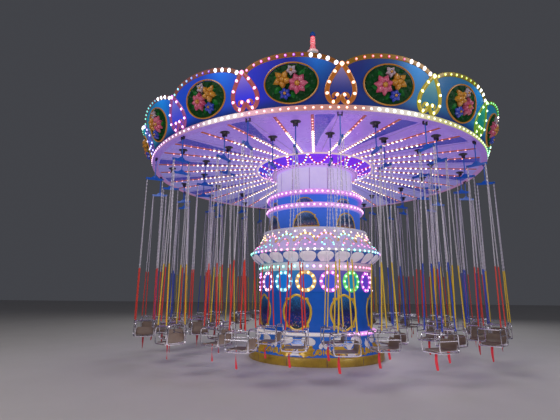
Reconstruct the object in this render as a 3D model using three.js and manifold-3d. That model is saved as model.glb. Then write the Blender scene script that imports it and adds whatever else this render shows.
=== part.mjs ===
// A chair swing ride: a painted tower with a lifting head, and a turning canopy that carries 48 chairs.
// Millimetres, +Z up. The origin is on the ground at the middle of the tower, and -Y is the side seen first.

import * as THREE from 'three';
import * as BufferGeometryUtils from 'three/addons/utils/BufferGeometryUtils.js';
import Module from 'manifold-3d';

const wasm = await Module();
wasm.setup();

// Clearances
const SEAT_GAP = 0.3;
const RUNNING_GAP = 15;

// Tower, from the ground up
const TOWER_SIDES = 32;
const PLINTH_RADIUS = 1753;
const PLINTH_HEIGHT = 200;
const PLINTH_LIP = 30;
const SKIRT_FOOT_RADIUS = 1708;
const SKIRT_NECK_RADIUS = 1515;
const SKIRT_TOP = 718;
const SKIRT_BAND_HEIGHT = 75;
const SKIRT_BAND_RADIUS = 1560;
const DRUM_RADIUS = 1470;
const DRUM_WALL = 60;
const CIRCLE_BAND_BOTTOM = 1635;
const CIRCLE_BAND_RADIUS = 1482;
const DRUM_TOP = 2350;
const LIGHT_BAND_HEIGHT = 205;
const LIGHT_BAND_RADIUS = 1505;
const COVE_TOP = 2600;
const COVE_RADIUS = 1735;
const CORNICE_LIP_RADIUS = 1749;
const CORNICE_LIP_HEIGHT = 50;
const CORNICE_TOP = 3210;
const CORNICE_TOP_RADIUS = 1424;
const CORNICE_MOULDING_HEIGHT = 50;
const CORNICE_MOULDING_REACH = 12;
const UPPER_DRUM_RADIUS = 1255;
const UPPER_DRUM_WALL = 40;
const UPPER_DRUM_TOP = 3723;
const RING_HEIGHT = 130;
const LOWER_RING_RADIUS = 1333;
const RING_BEVEL = 10;
const CURVE_STEPS = 4;

// Lifting head
const SLEEVE_RADIUS = UPPER_DRUM_RADIUS - UPPER_DRUM_WALL - RUNNING_GAP;
const SLEEVE_WALL = 50;
const SLEEVE_TOP = 4197;
const UPPER_RING_RADIUS = 1323;
const BARREL_RADIUS = 1055;
const BARREL_WALL = 50;
const BARREL_TOP = 5000;

// Canopy: a flat disc on the bearing, a deck that falls outwards, and a crown of leaning panels
const PANEL_COUNT = 16;
const PANEL_STEP = 360 / PANEL_COUNT;
const PANEL_AZIMUTH = -5;
const SCALLOP_STEPS = 6;
const CANOPY_SIDES = 32;
const FLARE_INNER_RADIUS = BARREL_RADIUS + 20;
const FLARE_FOOT_WIDTH = 60;
const FLARE_BOTTOM = 4850;
const FLARE_RIM_RADIUS = 1650;
const FLARE_RIM_WIDTH = 40;
const FLARE_RIM_BOTTOM = 5035;
const FLARE_TOP = 5085;
const DECK_THICKNESS = 50;
const DECK_INNER_HEIGHT = 5045;
const DECK_OUTER_RADIUS = 4306;
const DECK_OUTER_HEIGHT = 4812;
const RIM_RADIUS = 4450;
const RIM_TOP = 4925;
const CROWN_FOOT_RADIUS = 4400;
const CROWN_WALL = 45;
const JOINT_RADIUS = 4655;
const JOINT_HEIGHT = 5530;
const APEX_RADIUS = 4755;
const APEX_HEIGHT = 5800;
const STRIP_WIDTH = 90;
const STRIP_DEPTH = 35;
const MEDALLION_HEIGHT = 5300;
const MEDALLION_HALF_WIDTH = 500;
const MEDALLION_HALF_HEIGHT = 370;
const MEDALLION_RELIEF = 130;
const MEDALLION_ROOT = 32;
const MEDALLION_SIDES = 12;
const ROOF_EAVES_RADIUS = 4300;
const ROOF_CURB = 300;
const ROOF_EAVES_HEIGHT = 5200;
const ROOF_SKIN = 60;
const ROOF_BREAKS = [[2600, 6250], [1000, 7500], [350, 8400]];
const ROOF_CAP_RADIUS = 160;
const FINIAL_SIDES = 8;
const FINIAL_BASE = 8820;
const FINIAL_FLARE_RADIUS = 170;
const FINIAL_FLARE_HEIGHT = 80;
const FINIAL_STEM_RADIUS = 70;
const FINIAL_STEM_HEIGHT = 330;
const FINIAL_BALL_RADIUS = 85;
const FINIAL_BALL_HEIGHT = 200;
const FINIAL_TOP = 9620;

// Chairs, hung from pins under the canopy in three rows
const OUTER_ROW_RADIUS = 4372;
const MIDDLE_ROW_RADIUS = 3950;
const INNER_ROW_RADIUS = 3150;
const CHEEK_THICKNESS = 16;
const CHEEK_WIDTH = 64;
const CHEEK_DEPTH = 110;
const RIM_CHEEK_WIDTH = 50;
const RIM_CHEEK_DEPTH = 80;
const PIN_LENGTH = 60;
const PIN_SIZE = 26;
const PIN_ABOVE_CHEEK_END = 25;
const CHEEK_ROOT = 20;
const ROD_SIZE = 22;
const SPREADER_HEIGHT = 4280;
const SPREADER_LENGTH = 400;
const SPREADER_SIZE = 38;
const CHAIN_RADIUS = 9;
const CHAIN_TOP_HALF_WIDTH = 180;
const CHAIN_TOP_HALF_DEPTH = 11;
const ARM_HEIGHT = 960;
const TUBE_SIZE = 30;
const CHAIR_HALF_WIDTH = 215;
const CHAIR_HALF_DEPTH = 210;
const SEAT_HEIGHT = 640;
const SEAT_THICKNESS = 28;
const STRAP_END = 360;
const STRAP_WIDTH = 40;
const STRAP_THICKNESS = 8;
const CHAIN_SPREAD = 150;

// Finishes
const finish = (color, roughness, metalness) =>
  new THREE.MeshStandardMaterial({ color, roughness, metalness });
const gold = finish(0xa8842c, 0.4, 0.6);
const scrollWhite = finish(0xd8d6e4, 0.45, 0.1);
const panelBlue = finish(0x1f49b8, 0.4, 0.1);
const coveWhite = finish(0xb9b4c8, 0.4, 0.1);
const corniceLilac = finish(0xc9a9dc, 0.4, 0.1);
const barrelWhite = finish(0xd4cfe6, 0.5, 0.1);
const flareBlue = finish(0x2b3fd0, 0.4, 0.1);
const deckLilac = finish(0x9a7cc8, 0.45, 0.1);
const crownBlue = finish(0x24469c, 0.4, 0.1);
const roofWhite = finish(0xc9c6d2, 0.6, 0.1);
const chrome = finish(0xc4c6cc, 0.2, 1.0);

const radians = THREE.MathUtils.degToRad;

// A point at an azimuth in degrees, counted from the front towards +X.
const around = (azimuth, radius, height) =>
  new THREE.Vector3(
    radius * Math.sin(radians(azimuth)),
    -radius * Math.cos(radians(azimuth)),
    height,
  );

// A solid of revolution about +Z from [radius, height] points. firstCorner is the azimuth of one edge.
function turned(points, sides, firstCorner = 0) {
  const profile = points.map(([radius, height]) => new THREE.Vector2(radius, height));
  const geometry = new THREE.LatheGeometry(profile, sides);
  geometry.rotateX(Math.PI / 2);
  geometry.rotateZ(radians(firstCorner));
  return geometry;
}

// A ring of revolution: the outline comes back to its first point.
const turnedRing = (points, sides, firstCorner) =>
  turned([...points, points[0]], sides, firstCorner);

// A closed geometry as a solid that can be joined and cut.
function solid(geometry) {
  const bare = geometry.clone();
  bare.deleteAttribute('normal');
  bare.deleteAttribute('uv');
  const merged = BufferGeometryUtils.mergeVertices(bare, 0.001);
  const shape = new wasm.Manifold(new wasm.Mesh({
    numProp: 3,
    vertProperties: new Float32Array(merged.attributes.position.array),
    triVerts: new Uint32Array(merged.index.array),
  }));
  if (shape.volume() > 0) return shape;
  const order = Array.from(merged.index.array);
  for (let i = 0; i < order.length; i += 3) [order[i], order[i + 1]] = [order[i + 1], order[i]];
  return new wasm.Manifold(new wasm.Mesh({
    numProp: 3,
    vertProperties: new Float32Array(merged.attributes.position.array),
    triVerts: new Uint32Array(order),
  }));
}

function geometryOf(shape) {
  const { vertProperties, triVerts } = shape.getMesh();
  const geometry = new THREE.BufferGeometry();
  geometry.setAttribute('position', new THREE.BufferAttribute(new Float32Array(vertProperties), 3));
  geometry.setIndex(new THREE.BufferAttribute(new Uint32Array(triVerts), 1));
  geometry.computeVertexNormals();
  return geometry;
}

const joined = (geometries) => geometryOf(geometries.map(solid).reduce((a, b) => a.add(b)));

// A box given by its middle and its size.
function block(middle, size) {
  const geometry = new THREE.BoxGeometry(...size);
  geometry.translate(...middle);
  return geometry;
}

// A thin three-sided bar from one point to another, for a chain.
function strand(from, to, radius) {
  const start = new THREE.Vector3(...from);
  const along = new THREE.Vector3(...to).sub(start);
  const geometry = new THREE.CylinderGeometry(radius, radius, along.length(), 3);
  geometry.translate(0, along.length() / 2, 0);
  const turn = new THREE.Quaternion().setFromUnitVectors(
    new THREE.Vector3(0, 1, 0), along.clone().normalize());
  geometry.applyQuaternion(turn);
  geometry.translate(start.x, start.y, start.z);
  return geometry;
}

// A flat outline given as [x, y] points, thickened upwards from z = 0.
function plate(points, thickness) {
  const outline = new THREE.Shape(points.map(([x, y]) => new THREE.Vector2(x, y)));
  return new THREE.ExtrudeGeometry(outline, { depth: thickness, bevelEnabled: false });
}

const ride = new THREE.Group();

function add(parent, name, geometry, material) {
  const mesh = new THREE.Mesh(geometry, material);
  mesh.name = name;
  parent.add(mesh);
  return mesh;
}

// Tower
function plinth() {
  return turned([
    [0, 0], [PLINTH_RADIUS, 0], [PLINTH_RADIUS, PLINTH_HEIGHT - PLINTH_LIP],
    [PLINTH_RADIUS - PLINTH_LIP, PLINTH_HEIGHT], [0, PLINTH_HEIGHT],
  ], TOWER_SIDES);
}

function skirt() {
  const bottom = PLINTH_HEIGHT + SEAT_GAP;
  const bandBottom = SKIRT_TOP - SKIRT_BAND_HEIGHT;
  const points = [[DRUM_RADIUS - DRUM_WALL, bottom], [SKIRT_FOOT_RADIUS, bottom]];
  for (let i = 1; i <= CURVE_STEPS; i += 1) {
    const t = i / CURVE_STEPS;
    const radius = SKIRT_FOOT_RADIUS
      + (SKIRT_NECK_RADIUS - SKIRT_FOOT_RADIUS) * Math.sin(t * Math.PI / 2);
    points.push([radius, bottom + (bandBottom - bottom) * t]);
  }
  points.push([SKIRT_BAND_RADIUS, bandBottom], [SKIRT_BAND_RADIUS, SKIRT_TOP]);
  points.push([DRUM_RADIUS - DRUM_WALL, SKIRT_TOP]);
  return turnedRing(points, TOWER_SIDES);
}

function lowerDrum() {
  const inside = DRUM_RADIUS - DRUM_WALL;
  const lightBottom = DRUM_TOP - LIGHT_BAND_HEIGHT;
  return turnedRing([
    [inside, SKIRT_TOP + SEAT_GAP], [DRUM_RADIUS, SKIRT_TOP + SEAT_GAP],
    [DRUM_RADIUS, CIRCLE_BAND_BOTTOM], [CIRCLE_BAND_RADIUS, CIRCLE_BAND_BOTTOM],
    [CIRCLE_BAND_RADIUS, lightBottom], [LIGHT_BAND_RADIUS, lightBottom],
    [LIGHT_BAND_RADIUS, DRUM_TOP], [inside, DRUM_TOP],
  ], TOWER_SIDES);
}

function cove() {
  const bottom = DRUM_TOP + SEAT_GAP;
  const inside = DRUM_RADIUS - DRUM_WALL;
  const points = [[inside, bottom]];
  for (let i = 0; i <= CURVE_STEPS; i += 1) {
    const t = i / CURVE_STEPS;
    const radius = LIGHT_BAND_RADIUS + (COVE_RADIUS - LIGHT_BAND_RADIUS) * Math.sin(t * Math.PI / 2);
    points.push([radius, bottom + (COVE_TOP - bottom) * t]);
  }
  points.push([inside, COVE_TOP]);
  return turnedRing(points, TOWER_SIDES);
}

// The bell runs in quickly from the lip and then rises almost upright to the top moulding.
function cornice() {
  const bottom = COVE_TOP + SEAT_GAP;
  const lip = bottom + CORNICE_LIP_HEIGHT;
  const inside = UPPER_DRUM_RADIUS - UPPER_DRUM_WALL;
  const neck = CORNICE_TOP_RADIUS - CORNICE_MOULDING_REACH;
  const moulding = CORNICE_TOP - CORNICE_MOULDING_HEIGHT;
  const points = [[inside, bottom], [CORNICE_LIP_RADIUS, bottom]];
  for (let i = 0; i <= CURVE_STEPS; i += 1) {
    const t = i / CURVE_STEPS;
    const radius = neck + (CORNICE_LIP_RADIUS - neck) * (1 - Math.sin(t * Math.PI / 2));
    points.push([radius, lip + (moulding - lip) * t]);
  }
  points.push([CORNICE_TOP_RADIUS, moulding], [CORNICE_TOP_RADIUS, CORNICE_TOP]);
  points.push([inside, CORNICE_TOP]);
  return turnedRing(points, TOWER_SIDES);
}

function upperDrum() {
  const inside = UPPER_DRUM_RADIUS - UPPER_DRUM_WALL;
  return turnedRing([
    [inside, CORNICE_TOP + SEAT_GAP], [UPPER_DRUM_RADIUS, CORNICE_TOP + SEAT_GAP],
    [UPPER_DRUM_RADIUS, UPPER_DRUM_TOP], [LOWER_RING_RADIUS, UPPER_DRUM_TOP + RING_BEVEL],
    [LOWER_RING_RADIUS, UPPER_DRUM_TOP + RING_HEIGHT], [inside, UPPER_DRUM_TOP + RING_HEIGHT],
  ], TOWER_SIDES);
}

add(ride, 'base_plinth', plinth(), gold);
add(ride, 'base_skirt', skirt(), scrollWhite);
add(ride, 'lower_drum', lowerDrum(), panelBlue);
add(ride, 'cove_bowl', cove(), coveWhite);
add(ride, 'cornice_bell', cornice(), corniceLilac);
add(ride, 'upper_drum', upperDrum(), panelBlue);

// Lifting head: a sleeve that stands on the plinth when it is down, and a barrel with the bearing
function liftSleeve() {
  const ringBottom = SLEEVE_TOP - RING_HEIGHT;
  const inside = SLEEVE_RADIUS - SLEEVE_WALL;
  const bottom = PLINTH_HEIGHT + SEAT_GAP;
  return turned([
    [0, SLEEVE_TOP - SLEEVE_WALL], [inside, SLEEVE_TOP - SLEEVE_WALL], [inside, bottom],
    [SLEEVE_RADIUS, bottom], [SLEEVE_RADIUS, ringBottom], [UPPER_RING_RADIUS, ringBottom + RING_BEVEL],
    [UPPER_RING_RADIUS, SLEEVE_TOP], [0, SLEEVE_TOP],
  ], TOWER_SIDES);
}

function headBarrel() {
  const inside = BARREL_RADIUS - BARREL_WALL;
  const bottom = SLEEVE_TOP + SEAT_GAP;
  return turned([
    [0, BARREL_TOP - BARREL_WALL], [inside, BARREL_TOP - BARREL_WALL], [inside, bottom],
    [BARREL_RADIUS, bottom], [BARREL_RADIUS, BARREL_TOP], [0, BARREL_TOP],
  ], TOWER_SIDES);
}

add(ride, 'lift_sleeve', liftSleeve(), panelBlue);
add(ride, 'head_barrel', headBarrel(), barrelWhite);

// Canopy
const canopyCorner = PANEL_AZIMUTH + PANEL_STEP / 4;
const deckUnderside = (radius) =>
  DECK_INNER_HEIGHT + (DECK_OUTER_HEIGHT - DECK_INNER_HEIGHT)
    * (radius - FLARE_RIM_RADIUS) / (DECK_OUTER_RADIUS - FLARE_RIM_RADIUS);

function flare() {
  return turned([
    [0, BARREL_TOP + SEAT_GAP], [FLARE_INNER_RADIUS, BARREL_TOP + SEAT_GAP],
    [FLARE_INNER_RADIUS, FLARE_BOTTOM], [FLARE_INNER_RADIUS + FLARE_FOOT_WIDTH, FLARE_BOTTOM],
    [FLARE_RIM_RADIUS - FLARE_RIM_WIDTH, FLARE_RIM_BOTTOM], [FLARE_RIM_RADIUS, FLARE_RIM_BOTTOM],
    [FLARE_RIM_RADIUS, FLARE_TOP], [0, FLARE_TOP],
  ], CANOPY_SIDES, canopyCorner);
}

// Two cheek plates that hold a chair's pin, hung under the canopy at one azimuth.
function cheeks(azimuth, radius, top, width, depth) {
  return [-1, 1].map((side) => {
    const offset = side * (PIN_LENGTH / 2 + SEAT_GAP + CHEEK_THICKNESS / 2);
    const plate = block(
      [offset, -radius, top + (CHEEK_ROOT - depth) / 2],
      [CHEEK_THICKNESS, width, depth + CHEEK_ROOT],
    );
    plate.rotateZ(radians(azimuth));
    return plate;
  });
}

const heartAzimuths = [];
const panelAzimuths = [];
for (let i = 0; i < PANEL_COUNT; i += 1) {
  panelAzimuths.push(PANEL_AZIMUTH + i * PANEL_STEP);
  heartAzimuths.push(PANEL_AZIMUTH + (i + 0.5) * PANEL_STEP);
}

function deck() {
  const inner = FLARE_RIM_RADIUS + SEAT_GAP;
  const plate = turnedRing([
    [inner, DECK_INNER_HEIGHT], [DECK_OUTER_RADIUS, DECK_OUTER_HEIGHT],
    [DECK_OUTER_RADIUS, DECK_OUTER_HEIGHT + DECK_THICKNESS],
    [inner, DECK_INNER_HEIGHT + DECK_THICKNESS],
  ], CANOPY_SIDES, canopyCorner);
  const plates = [plate];
  const rows = [[heartAzimuths, INNER_ROW_RADIUS], [panelAzimuths, MIDDLE_ROW_RADIUS]];
  for (const [azimuths, radius] of rows) {
    for (const azimuth of azimuths) {
      plates.push(...cheeks(azimuth, radius, deckUnderside(radius), CHEEK_WIDTH, CHEEK_DEPTH));
    }
  }
  return joined(plates);
}

// The oval boss that carries a panel's relief: a low dome whose root sinks into the leaning panel.
function medallion(azimuth) {
  const faceRadius = CROWN_FOOT_RADIUS + CROWN_WALL;
  const lean = Math.atan2(JOINT_RADIUS - faceRadius, JOINT_HEIGHT - RIM_TOP);
  const radius = faceRadius + (MEDALLION_HEIGHT - RIM_TOP) * Math.tan(lean);
  const boss = turned([
    [0, -MEDALLION_ROOT], [1, -MEDALLION_ROOT], [1, 0], [0.6, MEDALLION_RELIEF * 0.8],
    [0, MEDALLION_RELIEF],
  ], MEDALLION_SIDES);
  boss.scale(MEDALLION_HALF_WIDTH, MEDALLION_HALF_HEIGHT, 1);
  boss.rotateX(Math.PI / 2 + lean);
  boss.translate(0, -radius, MEDALLION_HEIGHT);
  boss.rotateZ(radians(azimuth));
  return boss;
}

// The crown is turned from one outline, and its upper edge, with the strip that carries the bulbs,
// is then lifted into one scallop for each panel.
function crown() {
  const columns = PANEL_COUNT * SCALLOP_STEPS;
  const inner = (DECK_OUTER_RADIUS + SEAT_GAP) / Math.cos(Math.PI / columns);
  const face = CROWN_FOOT_RADIUS + CROWN_WALL;
  const stripFoot = JOINT_HEIGHT - STRIP_WIDTH;
  const stripRadius = JOINT_RADIUS - STRIP_WIDTH * (JOINT_RADIUS - face) / (JOINT_HEIGHT - RIM_TOP);
  const outline = [
    [inner, DECK_OUTER_HEIGHT], [RIM_RADIUS, DECK_OUTER_HEIGHT], [RIM_RADIUS, RIM_TOP],
    [face, RIM_TOP], [stripRadius, stripFoot], [stripRadius + STRIP_DEPTH, stripFoot],
    [JOINT_RADIUS + STRIP_DEPTH, JOINT_HEIGHT], [JOINT_RADIUS - CROWN_WALL, JOINT_HEIGHT],
    [CROWN_FOOT_RADIUS, RIM_TOP], [inner, RIM_TOP],
  ];
  const geometry = turnedRing(outline, columns, PANEL_AZIMUTH);
  const position = geometry.attributes.position;
  const edge = new THREE.Vector2();
  for (let i = 0; i < position.count; i += 1) {
    if (position.getZ(i) < stripFoot - 1) continue;
    edge.set(position.getX(i), position.getY(i));
    const azimuth = THREE.MathUtils.radToDeg(Math.atan2(edge.x, -edge.y));
    const turn = ((azimuth - PANEL_AZIMUTH) / PANEL_STEP) % 1;
    const across = 2 * Math.min(Math.abs(turn), 1 - Math.abs(turn));
    const rise = Math.sqrt(1 - across * across);
    edge.setLength(edge.length() + (APEX_RADIUS - JOINT_RADIUS) * rise);
    position.setXYZ(i, edge.x, edge.y, position.getZ(i) + (APEX_HEIGHT - JOINT_HEIGHT) * rise);
  }
  const plates = [geometry, ...panelAzimuths.map(medallion)];
  for (const azimuth of heartAzimuths) {
    plates.push(...cheeks(azimuth, OUTER_ROW_RADIUS, DECK_OUTER_HEIGHT, RIM_CHEEK_WIDTH, RIM_CHEEK_DEPTH));
  }
  return joined(plates);
}

// The roof is a shell: the inside of its profile runs a skin's thickness under the outside.
function roof() {
  const onDeck = (radius) => deckUnderside(radius) + DECK_THICKNESS + SEAT_GAP;
  const eaves = ROOF_EAVES_RADIUS;
  const curb = eaves - ROOF_CURB;
  const shoulder = ROOF_BREAKS[1];
  const cone = turned([
    [0, FINIAL_BASE - 2 * ROOF_SKIN], [shoulder[0] - ROOF_SKIN, shoulder[1] - 1.5 * ROOF_SKIN],
    [curb, ROOF_EAVES_HEIGHT], [curb, onDeck(curb)], [eaves, onDeck(eaves)],
    [eaves, ROOF_EAVES_HEIGHT], ...ROOF_BREAKS, [ROOF_CAP_RADIUS, FINIAL_BASE], [0, FINIAL_BASE],
  ], CANOPY_SIDES, canopyCorner);
  const root = FINIAL_BASE - ROOF_SKIN / 2;
  const ball = FINIAL_TOP - FINIAL_BALL_HEIGHT;
  const finial = turned([
    [0, root], [ROOF_CAP_RADIUS - 10, root], [FINIAL_FLARE_RADIUS, FINIAL_BASE + FINIAL_FLARE_HEIGHT],
    [FINIAL_STEM_RADIUS, FINIAL_BASE + FINIAL_STEM_HEIGHT], [FINIAL_STEM_RADIUS - 10, ball],
    [FINIAL_BALL_RADIUS, ball + FINIAL_BALL_HEIGHT / 3], [0, FINIAL_TOP],
  ], FINIAL_SIDES);
  return joined([cone, finial]);
}

add(ride, 'canopy_flare', flare(), flareBlue);
add(ride, 'canopy_deck', deck(), deckLilac);
add(ride, 'crown_panels', crown(), crownBlue);
add(ride, 'canopy_roof', roof(), roofWhite);

// The rod and the spreader bar as one upside-down T, which faces along local Y.
function hanger(spreader) {
  const half = ROD_SIZE / 2;
  const reach = SPREADER_LENGTH / 2;
  const top = spreader + SPREADER_SIZE / 2;
  const bottom = spreader - SPREADER_SIZE / 2;
  const shape = plate([
    [-half, 0], [-half, top], [-reach, top], [-reach, bottom],
    [reach, bottom], [reach, top], [half, top], [half, 0],
  ], SPREADER_SIZE);
  shape.rotateX(Math.PI / 2);
  shape.translate(0, SPREADER_SIZE / 2, 0);
  return shape;
}

// The seat and its back as one L, seen from the side.
function bucket(seat, arm) {
  const back = -CHAIR_HALF_DEPTH;
  const shape = plate([
    [back, seat], [CHAIR_HALF_DEPTH, seat], [CHAIR_HALF_DEPTH, seat + SEAT_THICKNESS],
    [back + TUBE_SIZE, seat + SEAT_THICKNESS], [back + TUBE_SIZE, arm], [back, arm],
  ], 2 * CHAIR_HALF_WIDTH);
  shape.rotateX(Math.PI / 2);
  shape.rotateZ(Math.PI / 2);
  shape.translate(-CHAIR_HALF_WIDTH, 0, 0);
  return shape;
}

// The two arms and the lap bar as one flat U round the rider.
function rail(arm) {
  const side = CHAIR_HALF_WIDTH;
  const inside = CHAIR_HALF_WIDTH - TUBE_SIZE;
  const front = CHAIR_HALF_DEPTH + TUBE_SIZE;
  const back = -CHAIR_HALF_DEPTH;
  const shape = plate([
    [-side, back], [-side, front], [side, front], [side, back],
    [inside, back], [inside, front - TUBE_SIZE], [-inside, front - TUBE_SIZE], [-inside, back],
  ], TUBE_SIZE);
  shape.translate(0, 0, arm - TUBE_SIZE / 2);
  return shape;
}

// A chair with its rod, spreader and four chains, as it hangs. Its pin is at the local origin,
// local X points to the tower and local Y is the way the rider faces, clockwise seen from above.
function chair(pivotHeight) {
  const arm = ARM_HEIGHT - pivotHeight;
  const seat = SEAT_HEIGHT - pivotHeight;
  const spreader = SPREADER_HEIGHT - pivotHeight;
  const strapRoot = 10;
  const strapLength = SEAT_HEIGHT - STRAP_END + strapRoot;
  const pieces = [
    block([0, 0, 0], [PIN_SIZE, PIN_LENGTH, PIN_SIZE]),
    hanger(spreader),
    bucket(seat, arm),
    rail(arm),
    block([0, CHAIR_HALF_DEPTH / 2, seat + strapRoot - strapLength / 2],
      [STRAP_WIDTH, STRAP_THICKNESS, strapLength]),
  ];
  for (const side of [-1, 1]) {
    for (const end of [-1, 1]) {
      pieces.push(strand(
        [side * CHAIN_TOP_HALF_WIDTH, end * CHAIN_TOP_HALF_DEPTH, spreader],
        [side * (CHAIR_HALF_WIDTH - TUBE_SIZE / 2), end * CHAIN_SPREAD, arm],
        CHAIN_RADIUS,
      ));
    }
  }
  return joined(pieces);
}

const underDeck = (radius) => deckUnderside(radius) - CHEEK_DEPTH + PIN_ABOVE_CHEEK_END;
const underRim = DECK_OUTER_HEIGHT - RIM_CHEEK_DEPTH + PIN_ABOVE_CHEEK_END;
const rows = [
  ['outer', heartAzimuths, OUTER_ROW_RADIUS, underRim],
  ['middle', panelAzimuths, MIDDLE_ROW_RADIUS, underDeck(MIDDLE_ROW_RADIUS)],
  ['inner', heartAzimuths, INNER_ROW_RADIUS, underDeck(INNER_ROW_RADIUS)],
];
for (const [row, azimuths, radius, height] of rows) {
  const shape = chair(height);
  azimuths.forEach((azimuth, i) => {
    const hung = new THREE.Group();
    hung.position.copy(around(azimuth, radius, height));
    hung.rotation.z = radians(azimuth + 90);
    add(hung, `chair_${row}_${String(i + 1).padStart(2, '0')}`, shape, chrome);
    ride.add(hung);
  });
}

export default ride;
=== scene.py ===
# %% [markdown]
# # A chair swing ride
#
# A painted tower carries a lifting head, and a turning canopy hangs 48 chairs from it on chains.
# The solid parts come in as a fixed frame, and each cell below dresses one of them.
# Every shape is worked out from a formula with numpy, as whole arrays of points, in metres.

# %% Load the frame
import math

import bpy
import numpy as np
from mathutils import Matrix, Vector


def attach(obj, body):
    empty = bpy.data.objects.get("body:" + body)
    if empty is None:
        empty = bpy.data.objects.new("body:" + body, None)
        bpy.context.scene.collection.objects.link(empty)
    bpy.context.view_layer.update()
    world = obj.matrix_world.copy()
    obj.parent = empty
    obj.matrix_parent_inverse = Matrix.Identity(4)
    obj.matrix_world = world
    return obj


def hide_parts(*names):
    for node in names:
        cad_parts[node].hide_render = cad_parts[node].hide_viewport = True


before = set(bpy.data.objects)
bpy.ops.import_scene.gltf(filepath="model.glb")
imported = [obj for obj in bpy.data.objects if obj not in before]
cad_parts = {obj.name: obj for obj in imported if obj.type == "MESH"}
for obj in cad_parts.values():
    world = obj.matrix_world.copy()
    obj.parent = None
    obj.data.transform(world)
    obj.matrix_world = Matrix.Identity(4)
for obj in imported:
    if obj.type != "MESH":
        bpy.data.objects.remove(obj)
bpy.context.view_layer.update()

# %% [markdown]
# ## Camera and light
#
# The camera stands at eye height in front of the ride and looks a little up and to the left.
# It could be aimed with a constraint, but three turns multiplied as matrices say exactly where it looks.
# Large soft lamps act as a studio, and one low lamp fills the underside. The floor is made at the end.

# %% Camera
FOCAL_LENGTH, PICTURE_WIDTH, SENSOR_WIDTH = 400.0, 560.0, 36.0
EYE = (0.0, -11.12, 1.6)
TURN, TILT, ROLL = 5.03, 101.77, 0.44
camera_data = bpy.data.cameras.new("camera")
camera_data.sensor_width = SENSOR_WIDTH
camera_data.lens = FOCAL_LENGTH / PICTURE_WIDTH * SENSOR_WIDTH
camera = bpy.data.objects.new("camera", camera_data)
aim = Matrix.Rotation(math.radians(TURN), 4, "Z") @ Matrix.Rotation(math.radians(TILT), 4, "X")
roll = Matrix.Rotation(math.radians(ROLL), 4, "Z")
camera.matrix_world = Matrix.Translation(EYE) @ aim @ roll
bpy.context.scene.collection.objects.link(camera)
bpy.context.scene.camera = camera
bpy.context.scene.view_settings.view_transform = "Standard"
print("lens:", round(camera_data.lens, 2), "mm")

# %% Lights and background
world = bpy.data.worlds.new("studio")
world.use_nodes = True
background = world.node_tree.nodes["Background"]
background.inputs["Color"].default_value = (0.055, 0.057, 0.066, 1.0)
background.inputs["Strength"].default_value = 1.0
bpy.context.scene.world = world


def soft_lamp(name, where, towards, size, power, colour):
    """A square area lamp at one point, turned so that it shines towards another."""
    lamp = bpy.data.lights.new(name, "AREA")
    lamp.size = size
    lamp.energy = power
    lamp.color = colour
    holder = bpy.data.objects.new(name, lamp)
    direction = (Vector(towards) - Vector(where)).normalized()
    holder.matrix_world = Matrix.Translation(where) @ direction.to_track_quat("-Z", "Y").to_matrix().to_4x4()
    holder.visible_camera = False
    bpy.context.scene.collection.objects.link(holder)


soft_lamp("key_lamp", (-9.0, -15.0, 11.0), (0.0, 0.0, 3.0), 7.0, 1250.0, (1.0, 0.97, 0.95))
soft_lamp("side_lamp", (13.0, -10.0, 8.0), (0.0, 0.0, 3.0), 7.0, 750.0, (0.95, 0.96, 1.0))
soft_lamp("back_lamp", (2.0, 15.0, 11.0), (0.0, 0.0, 4.0), 8.0, 900.0, (0.95, 0.96, 1.0))
soft_lamp("low_lamp", (0.0, -6.5, 0.05), (0.0, -6.5, 5.0), 7.0, 150.0, (1.0, 0.95, 0.95))
print("lamps:", len(bpy.data.lights))

# %% [markdown]
# ## Grids, copies and closed skins
#
# A surface is a grid of points, and the same few helpers turn every grid into a closed mesh.
# Blender's own primitives could be joined instead, but a grid keeps the formula of a shape in sight.
# The sign of its volume tells whether a closed skin faces outwards, so each one is turned by that test.

# %% Points, nets and parts
DARK = (0.0, 0.0, 0.0)
# A margin in metres that takes in the points right at an edge.
EDGE = 0.003


def place(azimuth, radius, height):
    """Point at an azimuth in degrees from the front: x = r sin a, y = -r cos a, z = height."""
    angle = np.radians(azimuth)
    parts = np.broadcast_arrays(radius * np.sin(angle), -radius * np.cos(angle), height)
    return np.stack(parts, axis=-1).astype(float)


def unit(vectors):
    """Vectors shortened or stretched to length 1."""
    return vectors / np.linalg.norm(vectors, axis=-1, keepdims=True)


def azimuth_of(points):
    """Azimuth of each point in degrees from the front: atan2(x, -y)."""
    return np.degrees(np.arctan2(points[:, 0], -points[:, 1]))


def reach_of(points):
    """Distance of each point from the axis: sqrt(x^2 + y^2)."""
    return np.hypot(points[:, 0], points[:, 1])


def net(rows, columns, wrap_rows=False, wrap_columns=False):
    """Four-cornered faces of a grid: (i, j), (i+1, j), (i+1, j+1), (i, j+1), closed round where asked."""
    i = np.arange(rows if wrap_rows else rows - 1)
    j = np.arange(columns if wrap_columns else columns - 1)
    i, j = np.meshgrid(i, j, indexing="ij")
    below, beside = (i + 1) % rows, (j + 1) % columns
    corners = [i * columns + j, below * columns + j, below * columns + beside, i * columns + beside]
    return np.stack(corners, axis=-1).reshape(-1, 4)


def bar_net(rows, columns, closed=False):
    """Faces of a bar: rings of points joined in turn, and a fan of triangles over each end unless closed."""
    sides = net(rows, columns, closed, True)
    if closed:
        return sides
    j = np.arange(1, columns - 1)
    cap = np.stack([np.zeros_like(j), j, j + 1, np.full_like(j, -1)], axis=-1)
    end = np.where(cap < 0, -1, cap + (rows - 1) * columns)
    return np.concatenate([sides, cap, end[:, [0, 2, 1, 3]]])


def fan(centre, ring):
    """Triangles from one point to a closed ring of points. A triangle has -1 as its fourth corner."""
    ring = np.asarray(ring)
    after = np.roll(ring, -1)
    return np.stack([np.full_like(ring, centre), ring, after, np.full_like(ring, -1)], axis=-1)


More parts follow.
